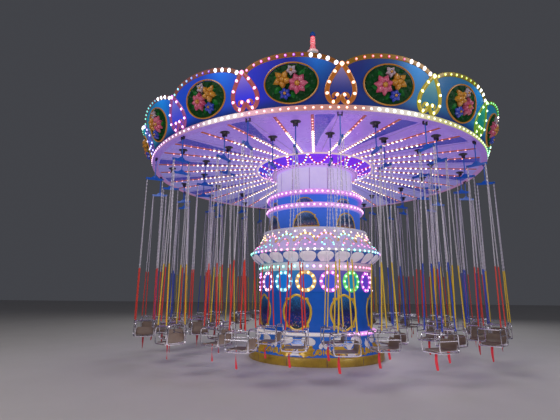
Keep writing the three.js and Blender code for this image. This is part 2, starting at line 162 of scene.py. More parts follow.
def part(points, faces, material=0, glow=DARK, uv=(0.0, 0.0)):
    """A closed skin. Its volume is the sum of a . (b x c) / 6, and a negative one turns the faces round."""
    points = np.asarray(points, float).reshape(-1, 3)
    faces = np.asarray(faces)
    last = np.where(faces[:, 3] < 0, faces[:, 2], faces[:, 3])
    shifted = points - points.mean(axis=0)
    a, b, c, d = (shifted[k] for k in (faces[:, 0], faces[:, 1], faces[:, 2], last))
    volume = (np.cross(b, c) * a).sum() + (np.cross(c, d) * a).sum()
    if volume < 0:
        three = faces[:, 3:] < 0
        faces = np.where(three, faces[:, [0, 2, 1, 3]], faces[:, [0, 3, 2, 1]])
    return {
        "points": points,
        "faces": faces,
        "material": np.broadcast_to(material, len(faces)).astype(np.int32),
        "glow": np.broadcast_to(glow, points.shape).astype(float),
        "uv": np.broadcast_to(uv, (len(points), 2)).astype(float),
    }


def gathered(parts):
    """Several parts as one, with the corner numbers of each moved up by the points before it."""
    starts = np.cumsum([0] + [len(p["points"]) for p in parts[:-1]])
    faces = [np.where(p["faces"] < 0, -1, p["faces"] + s) for p, s in zip(parts, starts)]
    joined = {key: np.concatenate([p[key] for p in parts]) for key in ("points", "material", "glow", "uv")}
    joined["faces"] = np.concatenate(faces)
    return joined


def copies(shape, origins, frames, glow=None):
    """One shape at many places: point = origin + x e1 + y e2 + z e3. The glow may differ at each point."""
    points = origins[:, None, :] + np.einsum("kc,ncd->nkd", shape["points"], frames)
    number, size = points.shape[:2]
    moved = shape["faces"][None] + size * np.arange(number)[:, None, None]
    colours = np.tile(shape["glow"], (number, 1)) if glow is None else glow.reshape(-1, 3)
    return {
        "points": points.reshape(-1, 3),
        "faces": np.where(shape["faces"][None] < 0, -1, moved).reshape(-1, 4),
        "material": np.tile(shape["material"], number),
        "glow": colours,
        "uv": np.tile(shape["uv"], (number, 1)),
    }


print("helpers for points, nets and parts are ready")

# %% Put a piece into Blender
CREASE = math.radians(35.0)
made = []


def piece(name, parts, materials, body, stands_for=()):
    """Writes the parts as one mesh object that rides on a body. Edges sharper than the crease stay sharp."""
    data = gathered(parts)
    kept = data["faces"] >= 0
    corners = data["faces"][kept].astype(np.int32)
    sizes = kept.sum(axis=1)
    mesh = bpy.data.meshes.new(name)
    mesh.vertices.add(len(data["points"]))
    mesh.vertices.foreach_set("co", data["points"].astype(np.float32).ravel())
    mesh.loops.add(len(corners))
    mesh.loops.foreach_set("vertex_index", corners)
    mesh.polygons.add(len(sizes))
    mesh.polygons.foreach_set("loop_start", (np.cumsum(sizes) - sizes).astype(np.int32))
    mesh.polygons.foreach_set("material_index", data["material"])
    mesh.polygons.foreach_set("use_smooth", np.ones(len(sizes), bool))
    mesh.update(calc_edges=True)
    mesh.uv_layers.new(name="UVMap").data.foreach_set("uv", data["uv"][corners].astype(np.float32).ravel())
    glow = mesh.attributes.new("glow", "FLOAT_COLOR", "POINT")
    rgba = np.concatenate([data["glow"], np.ones((len(data["glow"]), 1))], axis=1)
    glow.data.foreach_set("color", rgba.astype(np.float32).ravel())
    mesh.validate()
    mesh.set_sharp_from_angle(angle=CREASE)
    for material in materials:
        mesh.materials.append(material)
    thing = bpy.data.objects.new(name, mesh)
    bpy.context.scene.collection.objects.link(thing)
    if stands_for:
        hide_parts(*stands_for)
    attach(thing, body)
    made.append((name, int(sizes.sum() - 2 * len(sizes))))


print("pieces can be made")

# %% [markdown]
# ## Shapes that the ride repeats
#
# Nearly everything on the ride is one of four forms: a profile turned round the axis, an outline carried
# along a path, a band that lies on a curved wall, or a filled outline that bulges from one.
# Modifiers could bend flat ornament onto the walls. Here each wall is a function instead, and the ornament
# is drawn in the wall's own two coordinates, so it follows the curve exactly.

# %% Turned and swept forms
def turned(profile, sides, material=0, glow=DARK):
    """A closed profile carried round the axis: x = r sin a, y = -r cos a, z = h."""
    profile = np.asarray(profile, float)
    azimuth = np.arange(sides) * 360.0 / sides
    points = place(azimuth[:, None], profile[None, :, 0], profile[None, :, 1])
    by_segment = np.broadcast_to(material, len(profile))
    return part(points, net(sides, len(profile), True, True), np.tile(by_segment, sides), glow)


def capped(profile, sides, material=0):
    """A profile turned from the axis back to the axis, with a fan of triangles at each pole."""
    profile = np.asarray(profile, float)
    azimuth = np.arange(sides) * 360.0 / sides
    middle = profile[1:-1]
    rings = place(azimuth[None, :], middle[:, :1], middle[:, 1:]).reshape(-1, 3)
    poles = np.array([[0.0, 0.0, profile[0, 1]], [0.0, 0.0, profile[-1, 1]]])
    count = len(middle)
    first, final = np.arange(sides), np.arange(sides) + (count - 1) * sides
    band = net(count, sides, False, True)
    faces = np.concatenate([band, fan(len(rings), first), fan(len(rings) + 1, final)[:, [0, 2, 1, 3]]])
    return part(np.concatenate([rings, poles]), faces, material)


def swept(path, across, up, section, closed=False, material=0, glow=DARK):
    """An outline carried along a path: point = path + s across + t up for each (s, t) of the outline."""
    section = np.asarray(section, float)
    points = path[:, None] + section[None, :, :1] * across[:, None] + section[None, :, 1:] * up[:, None]
    return part(points, bar_net(len(path), len(section), closed), material, glow)


def along_path(path, closed):
    """The step from the point before to the point after, at each point of a path."""
    if closed:
        return np.roll(path, -1, axis=0) - np.roll(path, 1, axis=0)
    return np.gradient(path, axis=0)


def circle(radius, count):
    """Points round a circle: (r cos q, r sin q)."""
    angle = np.arange(count) * 2 * math.pi / count
    return radius * np.stack([np.cos(angle), np.sin(angle)], axis=-1)


def tube(path, normal, radius, sides=8, closed=False, material=0, glow=DARK):
    """A round bar along a flat path, whose plane has the given normal: p + R (cos q a + sin q n)."""
    path = np.asarray(path, float)
    normal = np.broadcast_to(np.asarray(normal, float), path.shape)
    across = unit(np.cross(along_path(path, closed), normal))
    return swept(path, across, normal, circle(radius, sides), closed, material, glow)


def in_plane(points, fixed, axis):
    """Flat points put into the plane where one coordinate is fixed: 0 for x, 1 for y, 2 for z."""
    return np.insert(np.asarray(points, float), axis, fixed, axis=1)


def flat_plate(outline, thick, axis, offset=0.0, material=0, glow=DARK):
    """A flat outline with a thickness across its plane. The axis is the one that the outline leaves out."""
    points = np.stack([in_plane(outline, offset + half, axis) for half in (-thick / 2, thick / 2)])
    return part(points, bar_net(2, len(outline)), material, glow)


def rounded(corners, radius, steps=4, closed=True):
    """A path through corners, each replaced by the curve (1-t)^2 a + 2 t (1-t) c + t^2 b."""
    corners = np.asarray(corners, float)
    before, after = np.roll(corners, 1, axis=0), np.roll(corners, -1, axis=0)
    back, ahead = before - corners, after - corners
    back = corners + back * radius / np.linalg.norm(back, axis=1, keepdims=True)
    ahead = corners + ahead * radius / np.linalg.norm(ahead, axis=1, keepdims=True)
    t = np.linspace(0, 1, steps + 1)[None, :, None]
    bends = (1 - t) ** 2 * back[:, None] + 2 * t * (1 - t) * corners[:, None] + t ** 2 * ahead[:, None]
    if closed:
        return bends.reshape(-1, corners.shape[1])
    inner = bends[1:-1].reshape(-1, corners.shape[1])
    return np.concatenate([corners[:1], inner, corners[-1:]])


def flared(foot, top, count):
    """Heights and radii of a flare between two (radius, height) ends. The radius follows sin(t pi / 2)."""
    t = np.linspace(0.0, 1.0, count)
    return foot[1] + (top[1] - foot[1]) * t, foot[0] + (top[0] - foot[0]) * np.sin(t * math.pi / 2)


print("turned and swept forms are ready")

# %% Bands and bosses on a wall
SECTION_ACROSS = np.array([-1.0, -1.0, -0.6, 0.0, 0.6, 1.0, 1.0])
SECTION_LIFT = np.array([0.0, 0.45, 0.9, 1.0, 0.9, 0.45, 0.0])


def ribbon(path, half_width, relief, wall, closed=False, sink=0.006, material=0, glow=DARK):
    """A band on a wall: (u, v) = path + w n, where n is square to the path, and the lift is a low arch."""
    path = np.asarray(path, float)
    along = unit(along_path(path, closed))
    square = np.stack([-along[:, 1], along[:, 0]], axis=-1)
    half = np.broadcast_to(half_width, len(path))[:, None, None]
    spread = path[:, None] + half * SECTION_ACROSS[None, :, None] * square[:, None]
    lift = np.where(SECTION_LIFT > 0, relief * SECTION_LIFT, -sink)
    points = wall(spread[..., 0], spread[..., 1], np.broadcast_to(lift, spread.shape[:2]))
    return part(points, bar_net(len(path), len(SECTION_LIFT), closed), material, glow)


def boss(outline, height, wall, rings=4, power=2.0, sink=0.006, centre=None, material=0, glow=DARK):
    """A filled outline that bulges: (u, v) = c + q (edge - c), lift = height (1 - q^power), closed behind."""
    outline = np.asarray(outline, float)
    centre = outline.mean(axis=0) if centre is None else np.asarray(centre, float)
    q = np.concatenate([np.arange(1, rings + 1) / rings, [1.0]])
    spread = centre + q[:, None, None] * (outline - centre)
    lift = height * (1 - q ** power)
    lift[-1] = -sink
    around = len(outline)
    points = wall(spread[..., 0], spread[..., 1], np.broadcast_to(lift[:, None], spread.shape[:2]))
    poles = wall(np.full(2, centre[0]), np.full(2, centre[1]), np.array([height, -sink]))
    points = np.concatenate([points.reshape(-1, 3), poles])
    count = (rings + 1) * around
    under = fan(count + 1, np.arange(around) + rings * around)[:, [0, 2, 1, 3]]
    faces = np.concatenate([net(rings + 1, around, False, True), fan(count, np.arange(around)), under])
    uv = np.concatenate([spread.reshape(-1, 2), [centre, centre]])
    return part(points, faces, material, glow, uv)


def oval(centre, half_width, half_height, count=32, power=2.0):
    """A closed oval: u = c + a sgn(cos) |cos|^(2/p), v = d + b sgn(sin) |sin|^(2/p)."""
    q = np.arange(count) * 2 * math.pi / count
    c, s = np.cos(q), np.sin(q)
    u = centre[0] + half_width * np.sign(c) * np.abs(c) ** (2 / power)
    v = centre[1] + half_height * np.sign(s) * np.abs(s) ** (2 / power)
    return np.stack([u, v], axis=-1)


def spiral(centre, start, end, turns_from, turns_to, count=20, mirror=1.0):
    """A curl: the radius falls evenly from start to end while the angle runs between two turns."""
    t = np.linspace(0, 1, count)
    radius = start + (end - start) * t
    angle = 2 * math.pi * (turns_from + (turns_to - turns_from) * t)
    turn = np.stack([mirror * radius * np.cos(angle), radius * np.sin(angle)], axis=-1)
    return turn + [centre[0], centre[1]]


print("bands and bosses are ready")

# %% [markdown]
# ## The walls that carry ornament
#
# A wall takes metres along it, metres up it and a lift, and gives a point in space.
# Measuring along the wall in metres keeps circles round. The azimuth of the ornament's middle is set once.

# %% Walls and colours
LEAN = math.atan2(0.21, 0.605)
SIN_LEAN, COS_LEAN = math.sin(LEAN), math.cos(LEAN)
PANELS, PANEL_STEP, FIRST_PANEL, FIRST_HEART = 16, 22.5, -5.0, 6.25
panel_azimuths = FIRST_PANEL + PANEL_STEP * np.arange(PANELS)
heart_azimuths = FIRST_HEART + PANEL_STEP * np.arange(PANELS)
CROWN_FOOT_R, CROWN_FOOT_Z, CROWN_WALL_R = 4.445, 4.925, 4.55
DECK = ((1.65, 5.045), (4.306, 4.812))
FLARE = ((1.135, 4.85), (1.61, 5.035))


def drum_wall(azimuth, radius):
    """A cylinder: a = a0 + u / r, z = v, with the lift outwards."""
    return lambda u, v, lift: place(azimuth + np.degrees(u / radius), radius + lift, v)


def profile_wall(azimuth, heights, radii):
    """A bell: the radius is read from a profile at height v, a = a0 + u / r, and the lift is outwards."""
    middle = float(np.mean(radii))
    return lambda u, v, lift: place(
        azimuth + np.degrees(u / middle), np.interp(v, heights, radii) + lift, v)


def crown_wall(azimuth):
    """The leaning crown: v runs up the slope from the rim, and the lift leaves it squarely."""
    return lambda u, v, lift: place(
        azimuth + np.degrees(u / CROWN_WALL_R),
        CROWN_FOOT_R + v * SIN_LEAN + lift * COS_LEAN,
        CROWN_FOOT_Z + v * COS_LEAN - lift * SIN_LEAN)


def cone_height(radius, inner, outer):
    """Height at a radius, on the straight line between two (radius, height) ends."""
    return inner[1] + (outer[1] - inner[1]) * (radius - inner[0]) / (outer[0] - inner[0])


def cone_wall(azimuth, inner, outer):
    """The underside of the canopy: u across in metres, v the radius, and the lift downwards."""
    return lambda u, v, lift: place(azimuth + np.degrees(u / v), v, cone_height(v, inner, outer) - lift)


def hue(angle, white=0.0):
    """A colour from its angle in degrees, mixed with white: |((h / 60 + k) mod 6) - 3| - 1, cut to 0..1."""
    steps = (np.asarray(angle, float)[..., None] / 60.0 + np.array([0.0, 4.0, 2.0])) % 6.0
    pure = np.clip(np.abs(steps - 3.0) - 1.0, 0.0, 1.0)
    white = np.asarray(white, float)
    white = white[..., None] if white.ndim else white
    return pure + (1.0 - pure) * white


def between(values, stops, colours):
    """A colour for each value, read between a few stops."""
    colours = np.asarray(colours, float)
    return np.stack([np.interp(values, stops, colours[:, c]) for c in range(3)], axis=-1)


def spread_round(azimuth, stops, colours):
    """A colour for each azimuth, read between a few stops from -180 to 180 degrees."""
    return between((np.asarray(azimuth, float) + 180.0) % 360.0 - 180.0, stops, colours)


print("lean of the crown:", round(math.degrees(LEAN), 1), "degrees")

# %% [markdown]
# ## Finishes
#
# The ride is sheet metal and moulded plastic under gloss paint that has weathered for years.
# One node group ages any paint: large soft patches, fine dust and a little unevenness in the gloss.
# Pictures of worn paint could be wrapped on instead, but a procedural pattern has no seams and any scale.
# Near the lamps the paint also carries painted lamp light: an emission colour, stored on the mesh itself,
# that stands for the light of the bulbs around it.

# %% Node helpers
def new_material(name):
    """A material, its node tree and its Principled BSDF."""
    material = bpy.data.materials.new(name)
    material.use_nodes = True
    return material, material.node_tree, material.node_tree.nodes["Principled BSDF"]


def feed(tree, node, inputs):
    """Gives values or links to a node's inputs by name or number."""
    for key, value in inputs.items():
        if isinstance(value, bpy.types.NodeSocket):
            tree.links.new(value, node.inputs[key])
        else:
            node.inputs[key].default_value = value
    return node


def new_node(tree, kind, inputs=None, **settings):
    """Adds a node with its own settings, and feeds its inputs."""
    made_node = tree.nodes.new(kind)
    for key, value in settings.items():
        setattr(made_node, key, value)
    return feed(tree, made_node, inputs or {})


def worked_out(tree, operation, *values, clamp=False):
    """The result of one math node."""
    inputs = dict(enumerate(values))
    return new_node(tree, "ShaderNodeMath", inputs, operation=operation, use_clamp=clamp).outputs[0]


def ranged(tree, value, low, high, to_low=0.0, to_high=1.0):
    """A value carried evenly from one range to another, and cut off at its ends."""
    inputs = {"Value": value, "From Min": low, "From Max": high, "To Min": to_low, "To Max": to_high}
    return new_node(tree, "ShaderNodeMapRange", inputs).outputs[0]


def mixed_colour(tree, share, first, second):
    """Two colours mixed by a share."""
    return new_node(tree, "ShaderNodeMix", {0: share, 6: first, 7: second}, data_type="RGBA").outputs[2]


def group_tree(name, inputs, outputs):
    """A shader node group with named sockets. Returns the tree, its input node and its output node."""
    tree = bpy.data.node_groups.new(name, "ShaderNodeTree")
    for label, kind, value in inputs:
        socket = tree.interface.new_socket(name=label, in_out="INPUT", socket_type=kind)
        if value is not None:
            socket.default_value = value
    for label, kind in outputs:
        tree.interface.new_socket(name=label, in_out="OUTPUT", socket_type=kind)
    return tree, tree.nodes.new("NodeGroupInput"), tree.nodes.new("NodeGroupOutput")


def aged_paint_group():
    """Patches of a second colour, dust in the gloss and a fine height, all from noise on the given vector."""
    tree, source, sink = group_tree(
        "Aged paint",
        [("Vector", "NodeSocketVector", None),
         ("Fresh", "NodeSocketColor", (0.5, 0.5, 0.5, 1.0)),
         ("Worn", "NodeSocketColor", (0.3, 0.3, 0.3, 1.0)),
         ("Patch Scale", "NodeSocketFloat", 3.0),
         ("Wear", "NodeSocketFloat", 0.5),
         ("Gloss", "NodeSocketFloat", 0.3)],
        [("Colour", "NodeSocketColor"), ("Roughness", "NodeSocketFloat"), ("Height", "NodeSocketFloat")])
    out = source.outputs
    patches = new_node(tree, "ShaderNodeTexNoise", {"Vector": out["Vector"], "Scale": out["Patch Scale"],
                                                    "Detail": 6.0, "Roughness": 0.62}).outputs["Fac"]
    dust = new_node(tree, "ShaderNodeTexNoise", {"Vector": out["Vector"], "Scale": 55.0,
                                                 "Detail": 3.0}).outputs["Fac"]
    amount = worked_out(tree, "MULTIPLY", ranged(tree, patches, 0.38, 0.72), out["Wear"])
    specks = ranged(tree, dust, 0.62, 0.75, 0.0, 0.35)
    total = worked_out(tree, "ADD", amount, specks, clamp=True)
    feed(tree, sink, {
        "Colour": mixed_colour(tree, total, out["Fresh"], out["Worn"]),
        "Roughness": worked_out(tree, "MULTIPLY_ADD", total, 0.25, out["Gloss"], clamp=True),
        "Height": worked_out(tree, "MULTIPLY_ADD", dust, 0.5, patches)})
    return tree


aged_paint = aged_paint_group()
print("group:", aged_paint.name)

# %% Paints
def paint(name, fresh, worn, wear=0.5, gloss=0.3, metallic=0.0, coat=0.3, patch=3.0, bump=0.0015,
          lit=0.0, shine=0.5):
    """A material: aged paint on object coordinates. Where lit is above 0, the stored glow shines from it as
    painted lamp light.
    """
    material, tree, shader = new_material(name)
    where = new_node(tree, "ShaderNodeTexCoord")
    aged = new_node(tree, "ShaderNodeGroup", {
        "Vector": where.outputs["Object"], "Fresh": (*fresh, 1.0), "Worn": (*worn, 1.0),
        "Patch Scale": patch, "Wear": wear, "Gloss": gloss}, node_tree=aged_paint)
    feed(tree, shader, {
        "Base Color": aged.outputs["Colour"], "Roughness": aged.outputs["Roughness"], "Metallic": metallic,
        "Specular IOR Level": shine, "Coat Weight": coat, "Coat Roughness": 0.12})
    if bump:
        relief = new_node(tree, "ShaderNodeBump", {"Strength": 0.6, "Distance": bump,
                                                   "Height": aged.outputs["Height"]})
        feed(tree, shader, {"Normal": relief.outputs["Normal"]})
    if lit:
        stored = new_node(tree, "ShaderNodeAttribute", attribute_name="glow")
        feed(tree, shader, {"Emission Color": stored.outputs["Color"], "Emission Strength": lit})
    return material


def lamp_glass(name, strength):
    """A lit lamp cap: its stored colour shines, and the clear cover keeps a sharp highlight."""
    material, tree, shader = new_material(name)
    stored = new_node(tree, "ShaderNodeAttribute", attribute_name="glow").outputs["Color"]
    where = new_node(tree, "ShaderNodeTexCoord").outputs["Object"]
    ribs = new_node(tree, "ShaderNodeTexNoise", {"Vector": where, "Scale": 90.0}).outputs["Fac"]
    feed(tree, shader, {"Base Color": stored, "Emission Color": stored, "Emission Strength": strength,
                        "Roughness": ranged(tree, ribs, 0.0, 1.0, 0.1, 0.35)})
    return material


gold = paint("plinth_gold", (0.56, 0.36, 0.03), (0.16, 0.07, 0.015), 0.7, 0.36, 0.2, patch=2.6, lit=1.0)
skirt_blue = paint("skirt_blue", (0.03, 0.15, 0.62), (0.02, 0.06, 0.25), 0.35, 0.22, lit=1.0)
scroll_white = paint("scroll_white", (0.80, 0.76, 0.76), (0.48, 0.43, 0.46), 0.3, 0.3, coat=0.15, lit=1.0)
scroll_gold = paint("scroll_gold", (0.66, 0.40, 0.025), (0.34, 0.16, 0.015), 0.45, 0.32, 0.15, 0.15, lit=1.0)
drum_blue = paint("drum_blue", (0.010, 0.095, 0.48), (0.006, 0.05, 0.26), 0.4, 0.34, coat=0.04, lit=1.0,
                  shine=0.2)
frame_gold = paint("frame_gold", (0.72, 0.46, 0.03), (0.38, 0.19, 0.02), 0.4, 0.3, 0.2, lit=1.0)
band_white = paint("band_white", (0.66, 0.62, 0.74), (0.34, 0.30, 0.42), 0.35, 0.3, lit=1.0)
cove_blue = paint("cove_blue", (0.02, 0.07, 0.30), (0.01, 0.03, 0.14), 0.4, 0.25, lit=1.0)
scallop_white = paint("scallop_white", (0.72, 0.66, 0.64), (0.40, 0.34, 0.36), 0.45, 0.35, coat=0.1, lit=1.0)
bell_lilac = paint("bell_lilac", (0.60, 0.42, 0.66), (0.36, 0.22, 0.44), 0.4, 0.28, lit=1.0)
barrel_white = paint("barrel_white", (0.68, 0.62, 0.78), (0.46, 0.40, 0.58), 0.3, 0.38, coat=0.1, lit=1.0)
flare_blue = paint("flare_blue", (0.03, 0.035, 0.55), (0.02, 0.02, 0.28), 0.35, 0.22, lit=1.0)
flare_dark = paint("flare_violet", (0.50, 0.28, 0.62), (0.30, 0.15, 0.42), 0.35, 0.3, lit=1.0)
# Dark paint of the plinth's joints, and painted shade inside the flare's holes.
joint_dark_and_hole_shade = paint("joint_dark_and_hole_shade", (0.020, 0.008, 0.12), (0.03, 0.02, 0.08), 0.4, 0.5, lit=0.0)
swag_red = paint("swag_red", (0.50, 0.02, 0.05), (0.24, 0.01, 0.03), 0.4, 0.25, lit=1.0)
rim_cream = paint("rim_cream", (0.46, 0.27, 0.24), (0.28, 0.16, 0.15), 0.4, 0.35, coat=0.1, lit=1.0)
# Lilac paint for the undersides, whose base colour also holds painted LED light.
deck_lilac = paint("deck_lilac", (0.40, 0.28, 0.66), (0.26, 0.16, 0.52), 0.5, 0.25, patch=1.6, lit=1.0)
deck_violet = paint("deck_violet", (0.09, 0.05, 0.42), (0.05, 0.03, 0.24), 0.4, 0.22, coat=0.4, lit=1.0)
rib_red = paint("rib_red", (0.48, 0.10, 0.04), (0.26, 0.04, 0.03), 0.45, 0.3, lit=1.0)
crown_blue = paint("crown_blue", (0.006, 0.030, 0.22), (0.004, 0.018, 0.12), 0.4, 0.36, coat=0.05, lit=1.0,
                   shine=0.3)
strip_gold = paint("strip_gold", (0.26, 0.13, 0.015), (0.13, 0.055, 0.01), 0.45, 0.3, 0.3, lit=1.0)
back_grey = paint("back_grey", (0.30, 0.29, 0.32), (0.18, 0.17, 0.20), 0.5, 0.5, coat=0.0, lit=0.0)
roof_white = paint("roof_white", (0.60, 0.59, 0.63), (0.36, 0.35, 0.40), 0.5, 0.5, coat=0.0, patch=1.2)
finial_red = paint("finial_red", (0.60, 0.02, 0.03), (0.30, 0.02, 0.02), 0.3, 0.25, lit=1.0)
finial_white = paint("finial_white", (0.80, 0.74, 0.74), (0.5, 0.44, 0.44), 0.3, 0.25, lit=1.0)
bracket_black = paint("bracket_black", (0.018, 0.014, 0.03), (0.05, 0.04, 0.06), 0.5, 0.4)
hanger_blue = paint("hanger_blue", (0.008, 0.085, 0.42), (0.008, 0.05, 0.26), 0.5, 0.3, coat=0.1, lit=1.0,
                    shine=0.3)
chrome = paint("tube_chrome", (0.54, 0.51, 0.58), (0.30, 0.27, 0.32), 0.35, 0.22, 1.0, 0.0, 9.0, bump=0.0)
chain_steel = paint("chain_steel", (0.66, 0.62, 0.70), (0.38, 0.35, 0.42), 0.35, 0.4, 0.3, 0.0, 7.0, bump=0.0)
shell_brown = paint("shell_brown", (0.150, 0.098, 0.074), (0.24, 0.18, 0.15), 0.45, 0.42, coat=0.1, patch=6.0)
strap_red = paint("strap_red", (0.58, 0.015, 0.035), (0.36, 0.01, 0.02), 0.35, 0.7, coat=0.0, patch=14.0)
lamp_cap = lamp_glass("lamp_cap", 2.4)
print("materials:", len(bpy.data.materials))

# %% [markdown]
# ## Lamps
#
# Some two thousand capped bulbs outline the ride. Each is a small dome with a few dozen faces.
# They could be instances, but one mesh for each moving body is simple to ride and to export.
# Every dome stores its own colours, deep on the collar and pale at the tip, and one lamp material reads them.

# %% One dome, and rows of it
LAMP_SIDES = 8
LAMP_STEP = 0.004
dome = capped([(0.0, -0.3), (1.65, -0.12), (1.0, 0.14), (0.7, 0.75), (0.0, 1.0)], LAMP_SIDES)
lamps = {"tower": [], "lifting_head": [], "canopy": [], "crown": []}


def lamp_shades(colour):
    """Colours of a dome's points: collar 0.4 c^2.2, lens c, shoulder and tip mixed with white."""
    colour = np.asarray(colour, float)[:, None, :]
    white = colour.max(axis=2, keepdims=True)
    collar = 0.4 * colour ** 2.2
    rings = [np.repeat(ring, LAMP_SIDES, axis=1) for ring in (collar, colour, 0.6 * colour + 0.4 * white)]
    return np.concatenate(rings + [collar, 0.3 * colour + 0.7 * white], axis=1)


def add_lamps(group, wall, u, v, colour, size, stand=0.0):
    """Domes at (u, v) on a wall. Their frame is two small steps along the wall and one step off it."""
    u, v, lift = np.broadcast_arrays(np.asarray(u, float), v, stand)
    origin = wall(u, v, lift)
    steps = [wall(u + LAMP_STEP, v, lift), wall(u, v + LAMP_STEP, lift), wall(u, v, lift + LAMP_STEP)]
    frames = np.stack([unit(step - origin) for step in steps], axis=1)
    frames = frames * np.broadcast_to(size, u.shape)[:, None, None]
    lamps[group].append(copies(dome, origin, frames, lamp_shades(np.broadcast_to(colour, (len(u), 3)))))


def full_row(radius, height, count, colour, size, first=0.0, group="tower", wall=None):
    """A row of domes round the axis, evenly spaced, whose colour depends on the azimuth in degrees."""
    azimuth = (first + np.arange(count) * 360.0 / count + 180.0) % 360.0 - 180.0
    wall = wall or drum_wall(0.0, radius)
    add_lamps(group, wall, np.radians(azimuth) * radius, height, colour(azimuth), size)


def lit_by_height(shape, levels, colours):
    """Stores light that depends on the height alone, read between a few levels."""
    shape["glow"] = between(shape["points"][:, 2], levels, colours)


print("dome faces:", len(dome["faces"]))

# %% Curves through points
def curve_through(points, steps=6, closed=True):
    """A smooth curve through points, each span by the Catmull-Rom formula of its four neighbours."""
    p = np.asarray(points, float)
    if not closed:
        p = np.concatenate([[2 * p[0] - p[1]], p, [2 * p[-1] - p[-2]]])
        a, b, c, d = p[:-3], p[1:-2], p[2:-1], p[3:]
    else:
        a, b, c, d = np.roll(p, 1, axis=0), p, np.roll(p, -1, axis=0), np.roll(p, -2, axis=0)
    t = (np.arange(steps) / steps)[None, :, None]
    a, b, c, d = (q[:, None] for q in (a, b, c, d))
    bent = 2 * b + (c - a) * t + (2 * a - 5 * b + 4 * c - d) * t ** 2 + (3 * b - a - 3 * c + d) * t ** 3
    bent = 0.5 * bent
    bent = bent.reshape(-1, p.shape[1])
    return bent if closed else np.concatenate([bent, p[-2:-1]])


def mirrored(half):
    """A closed outline from its right half, listed from top to foot, and the same half turned over."""
    half = np.asarray(half, float)
    other = half[::-1] * np.array([-1.0, 1.0])
    return np.concatenate([half, other[1:-1] if half[0, 0] == 0 and half[-1, 0] == 0 else other])


def even_points(path, count, closed=True):
    """Points at equal distances along a path, read from its running length."""
    path = np.asarray(path, float)
    loop = np.concatenate([path, path[:1]]) if closed else path
    run = np.concatenate([[0.0], np.cumsum(np.linalg.norm(np.diff(loop, axis=0), axis=1))])
    wanted = np.linspace(0.0, run[-1], count, endpoint=not closed)
    return np.stack([np.interp(wanted, run, loop[:, k]) for k in range(loop.shape[1])], axis=-1)


print("curves are ready")

# %% [markdown]
# ## Plinth and skirt
#
# A gold ring stands on the ground, and above it a flared skirt carries white and gold scrollwork on blue.
# The real scrollwork is moulded with the sheet, so each leaf is a low boss that grows out of the wall.
# Painting it flat would lose the shadows, and a carved mesh would hide how simple the outlines are.

# %% Plinth
TOWER_SIDES = 160
PLINTH_PROFILE = [(0.0, 0.0), (1.75, 0.0), (1.753, 0.004), (1.753, 0.168), (1.748, 0.176), (1.727, 0.198),
                  (1.722, 0.2), (0.0, 0.2)]
MARK_PATH = [(0.0, 0.012), (0.0, 0.09), (0.0, 0.168)]
MARK_R, MARK_STEP, FIRST_MARK = 1.7525, 30.0, 8.0
joint_marks = [ribbon(MARK_PATH, 0.006, 0.0015, drum_wall(MARK_STEP * k + FIRST_MARK, MARK_R), sink=0.004,
                      material=1) for k in range(12)]
plinth = capped(PLINTH_PROFILE, TOWER_SIDES)
piece("plinth_ring", [plinth] + joint_marks, [gold, joint_dark_and_hole_shade], "tower", ["base_plinth"])

# %% Skirt
TOWER_INSIDE_R = 1.41
SKIRT_FOOT, SKIRT_TOP = (1.708, 0.2003), (1.515, 0.643)
SKIRT_BAND_R = 1.56
skirt_z, skirt_r = flared(SKIRT_FOOT, SKIRT_TOP, 15)
skirt_profile = [(TOWER_INSIDE_R, SKIRT_FOOT[1])] + list(zip(skirt_r, skirt_z))
skirt_profile += [(1.553, 0.643), (SKIRT_BAND_R, 0.65), (SKIRT_BAND_R, 0.711), (1.553, 0.718),
                  (TOWER_INSIDE_R, 0.718)]
skirt_finish = [0] * 16 + [1] * 4 + [0]
skirt_body = turned(skirt_profile, TOWER_SIDES, skirt_finish)
CREAM_MIDDLE, CREAM_HALF, CREAM_FADE = -23.0, 46.0, 12.0
off_cream = np.abs(azimuth_of(skirt_body["points"]) - CREAM_MIDDLE) - CREAM_HALF
pink_share = np.clip(off_cream / CREAM_FADE, 0.0, 1.0)[:, None]
band_light = np.array([0.22, 0.20, 0.16]) * (1.0 - pink_share) + np.array([0.62, 0.16, 0.58]) * pink_share
on_band = (skirt_body["points"][:, 2] > SKIRT_TOP[1] - EDGE)[:, None]
skirt_body["glow"] = np.where(on_band, band_light, [0.0, 0.012, 0.04])


def skirt_wall(azimuth):
    """The flared skirt as a wall."""
    return profile_wall(azimuth, skirt_z, skirt_r)


def turned_about(outline, centre, degrees):
    """An outline turned about a point by an angle."""
    q = math.radians(degrees)
    turn = np.array([[math.cos(q), math.sin(q)], [-math.sin(q), math.cos(q)]])
    return (outline - centre) @ turn + centre


t = np.linspace(0.0, 1.0, 13)
spool_half = np.stack([0.05 + (0.115 - 0.04 * t) * np.abs(2 * t - 1) ** 1.9, 0.475 - 0.26 * t], axis=-1)
spade_half = [(0.0, 0.565), (0.028, 0.515), (0.086, 0.46), (0.100, 0.41), (0.072, 0.372), (0.032, 0.378),
              (0.0, 0.415)]
leaf_angle = np.arange(40) * 2 * math.pi / 40
leaf_reach = 1.0 + 0.20 * np.abs(np.cos(3.5 * leaf_angle)) ** 3 - 0.10 * np.cos(2 * leaf_angle)
leaf = np.stack([0.178 * leaf_reach * np.cos(leaf_angle), 0.098 * leaf_reach * np.sin(leaf_angle)], axis=-1)
PETAL_MIDDLE, LEAF_MIDDLE, CURL_MIDDLE = np.array([0.275, 0.530]), np.array([0.240, 0.325]), (0.095, 0.298)
SPOOL_AT, SPADE_AT, FIELD_STEP = -16.4, 6.1, 45.0
ornament = []
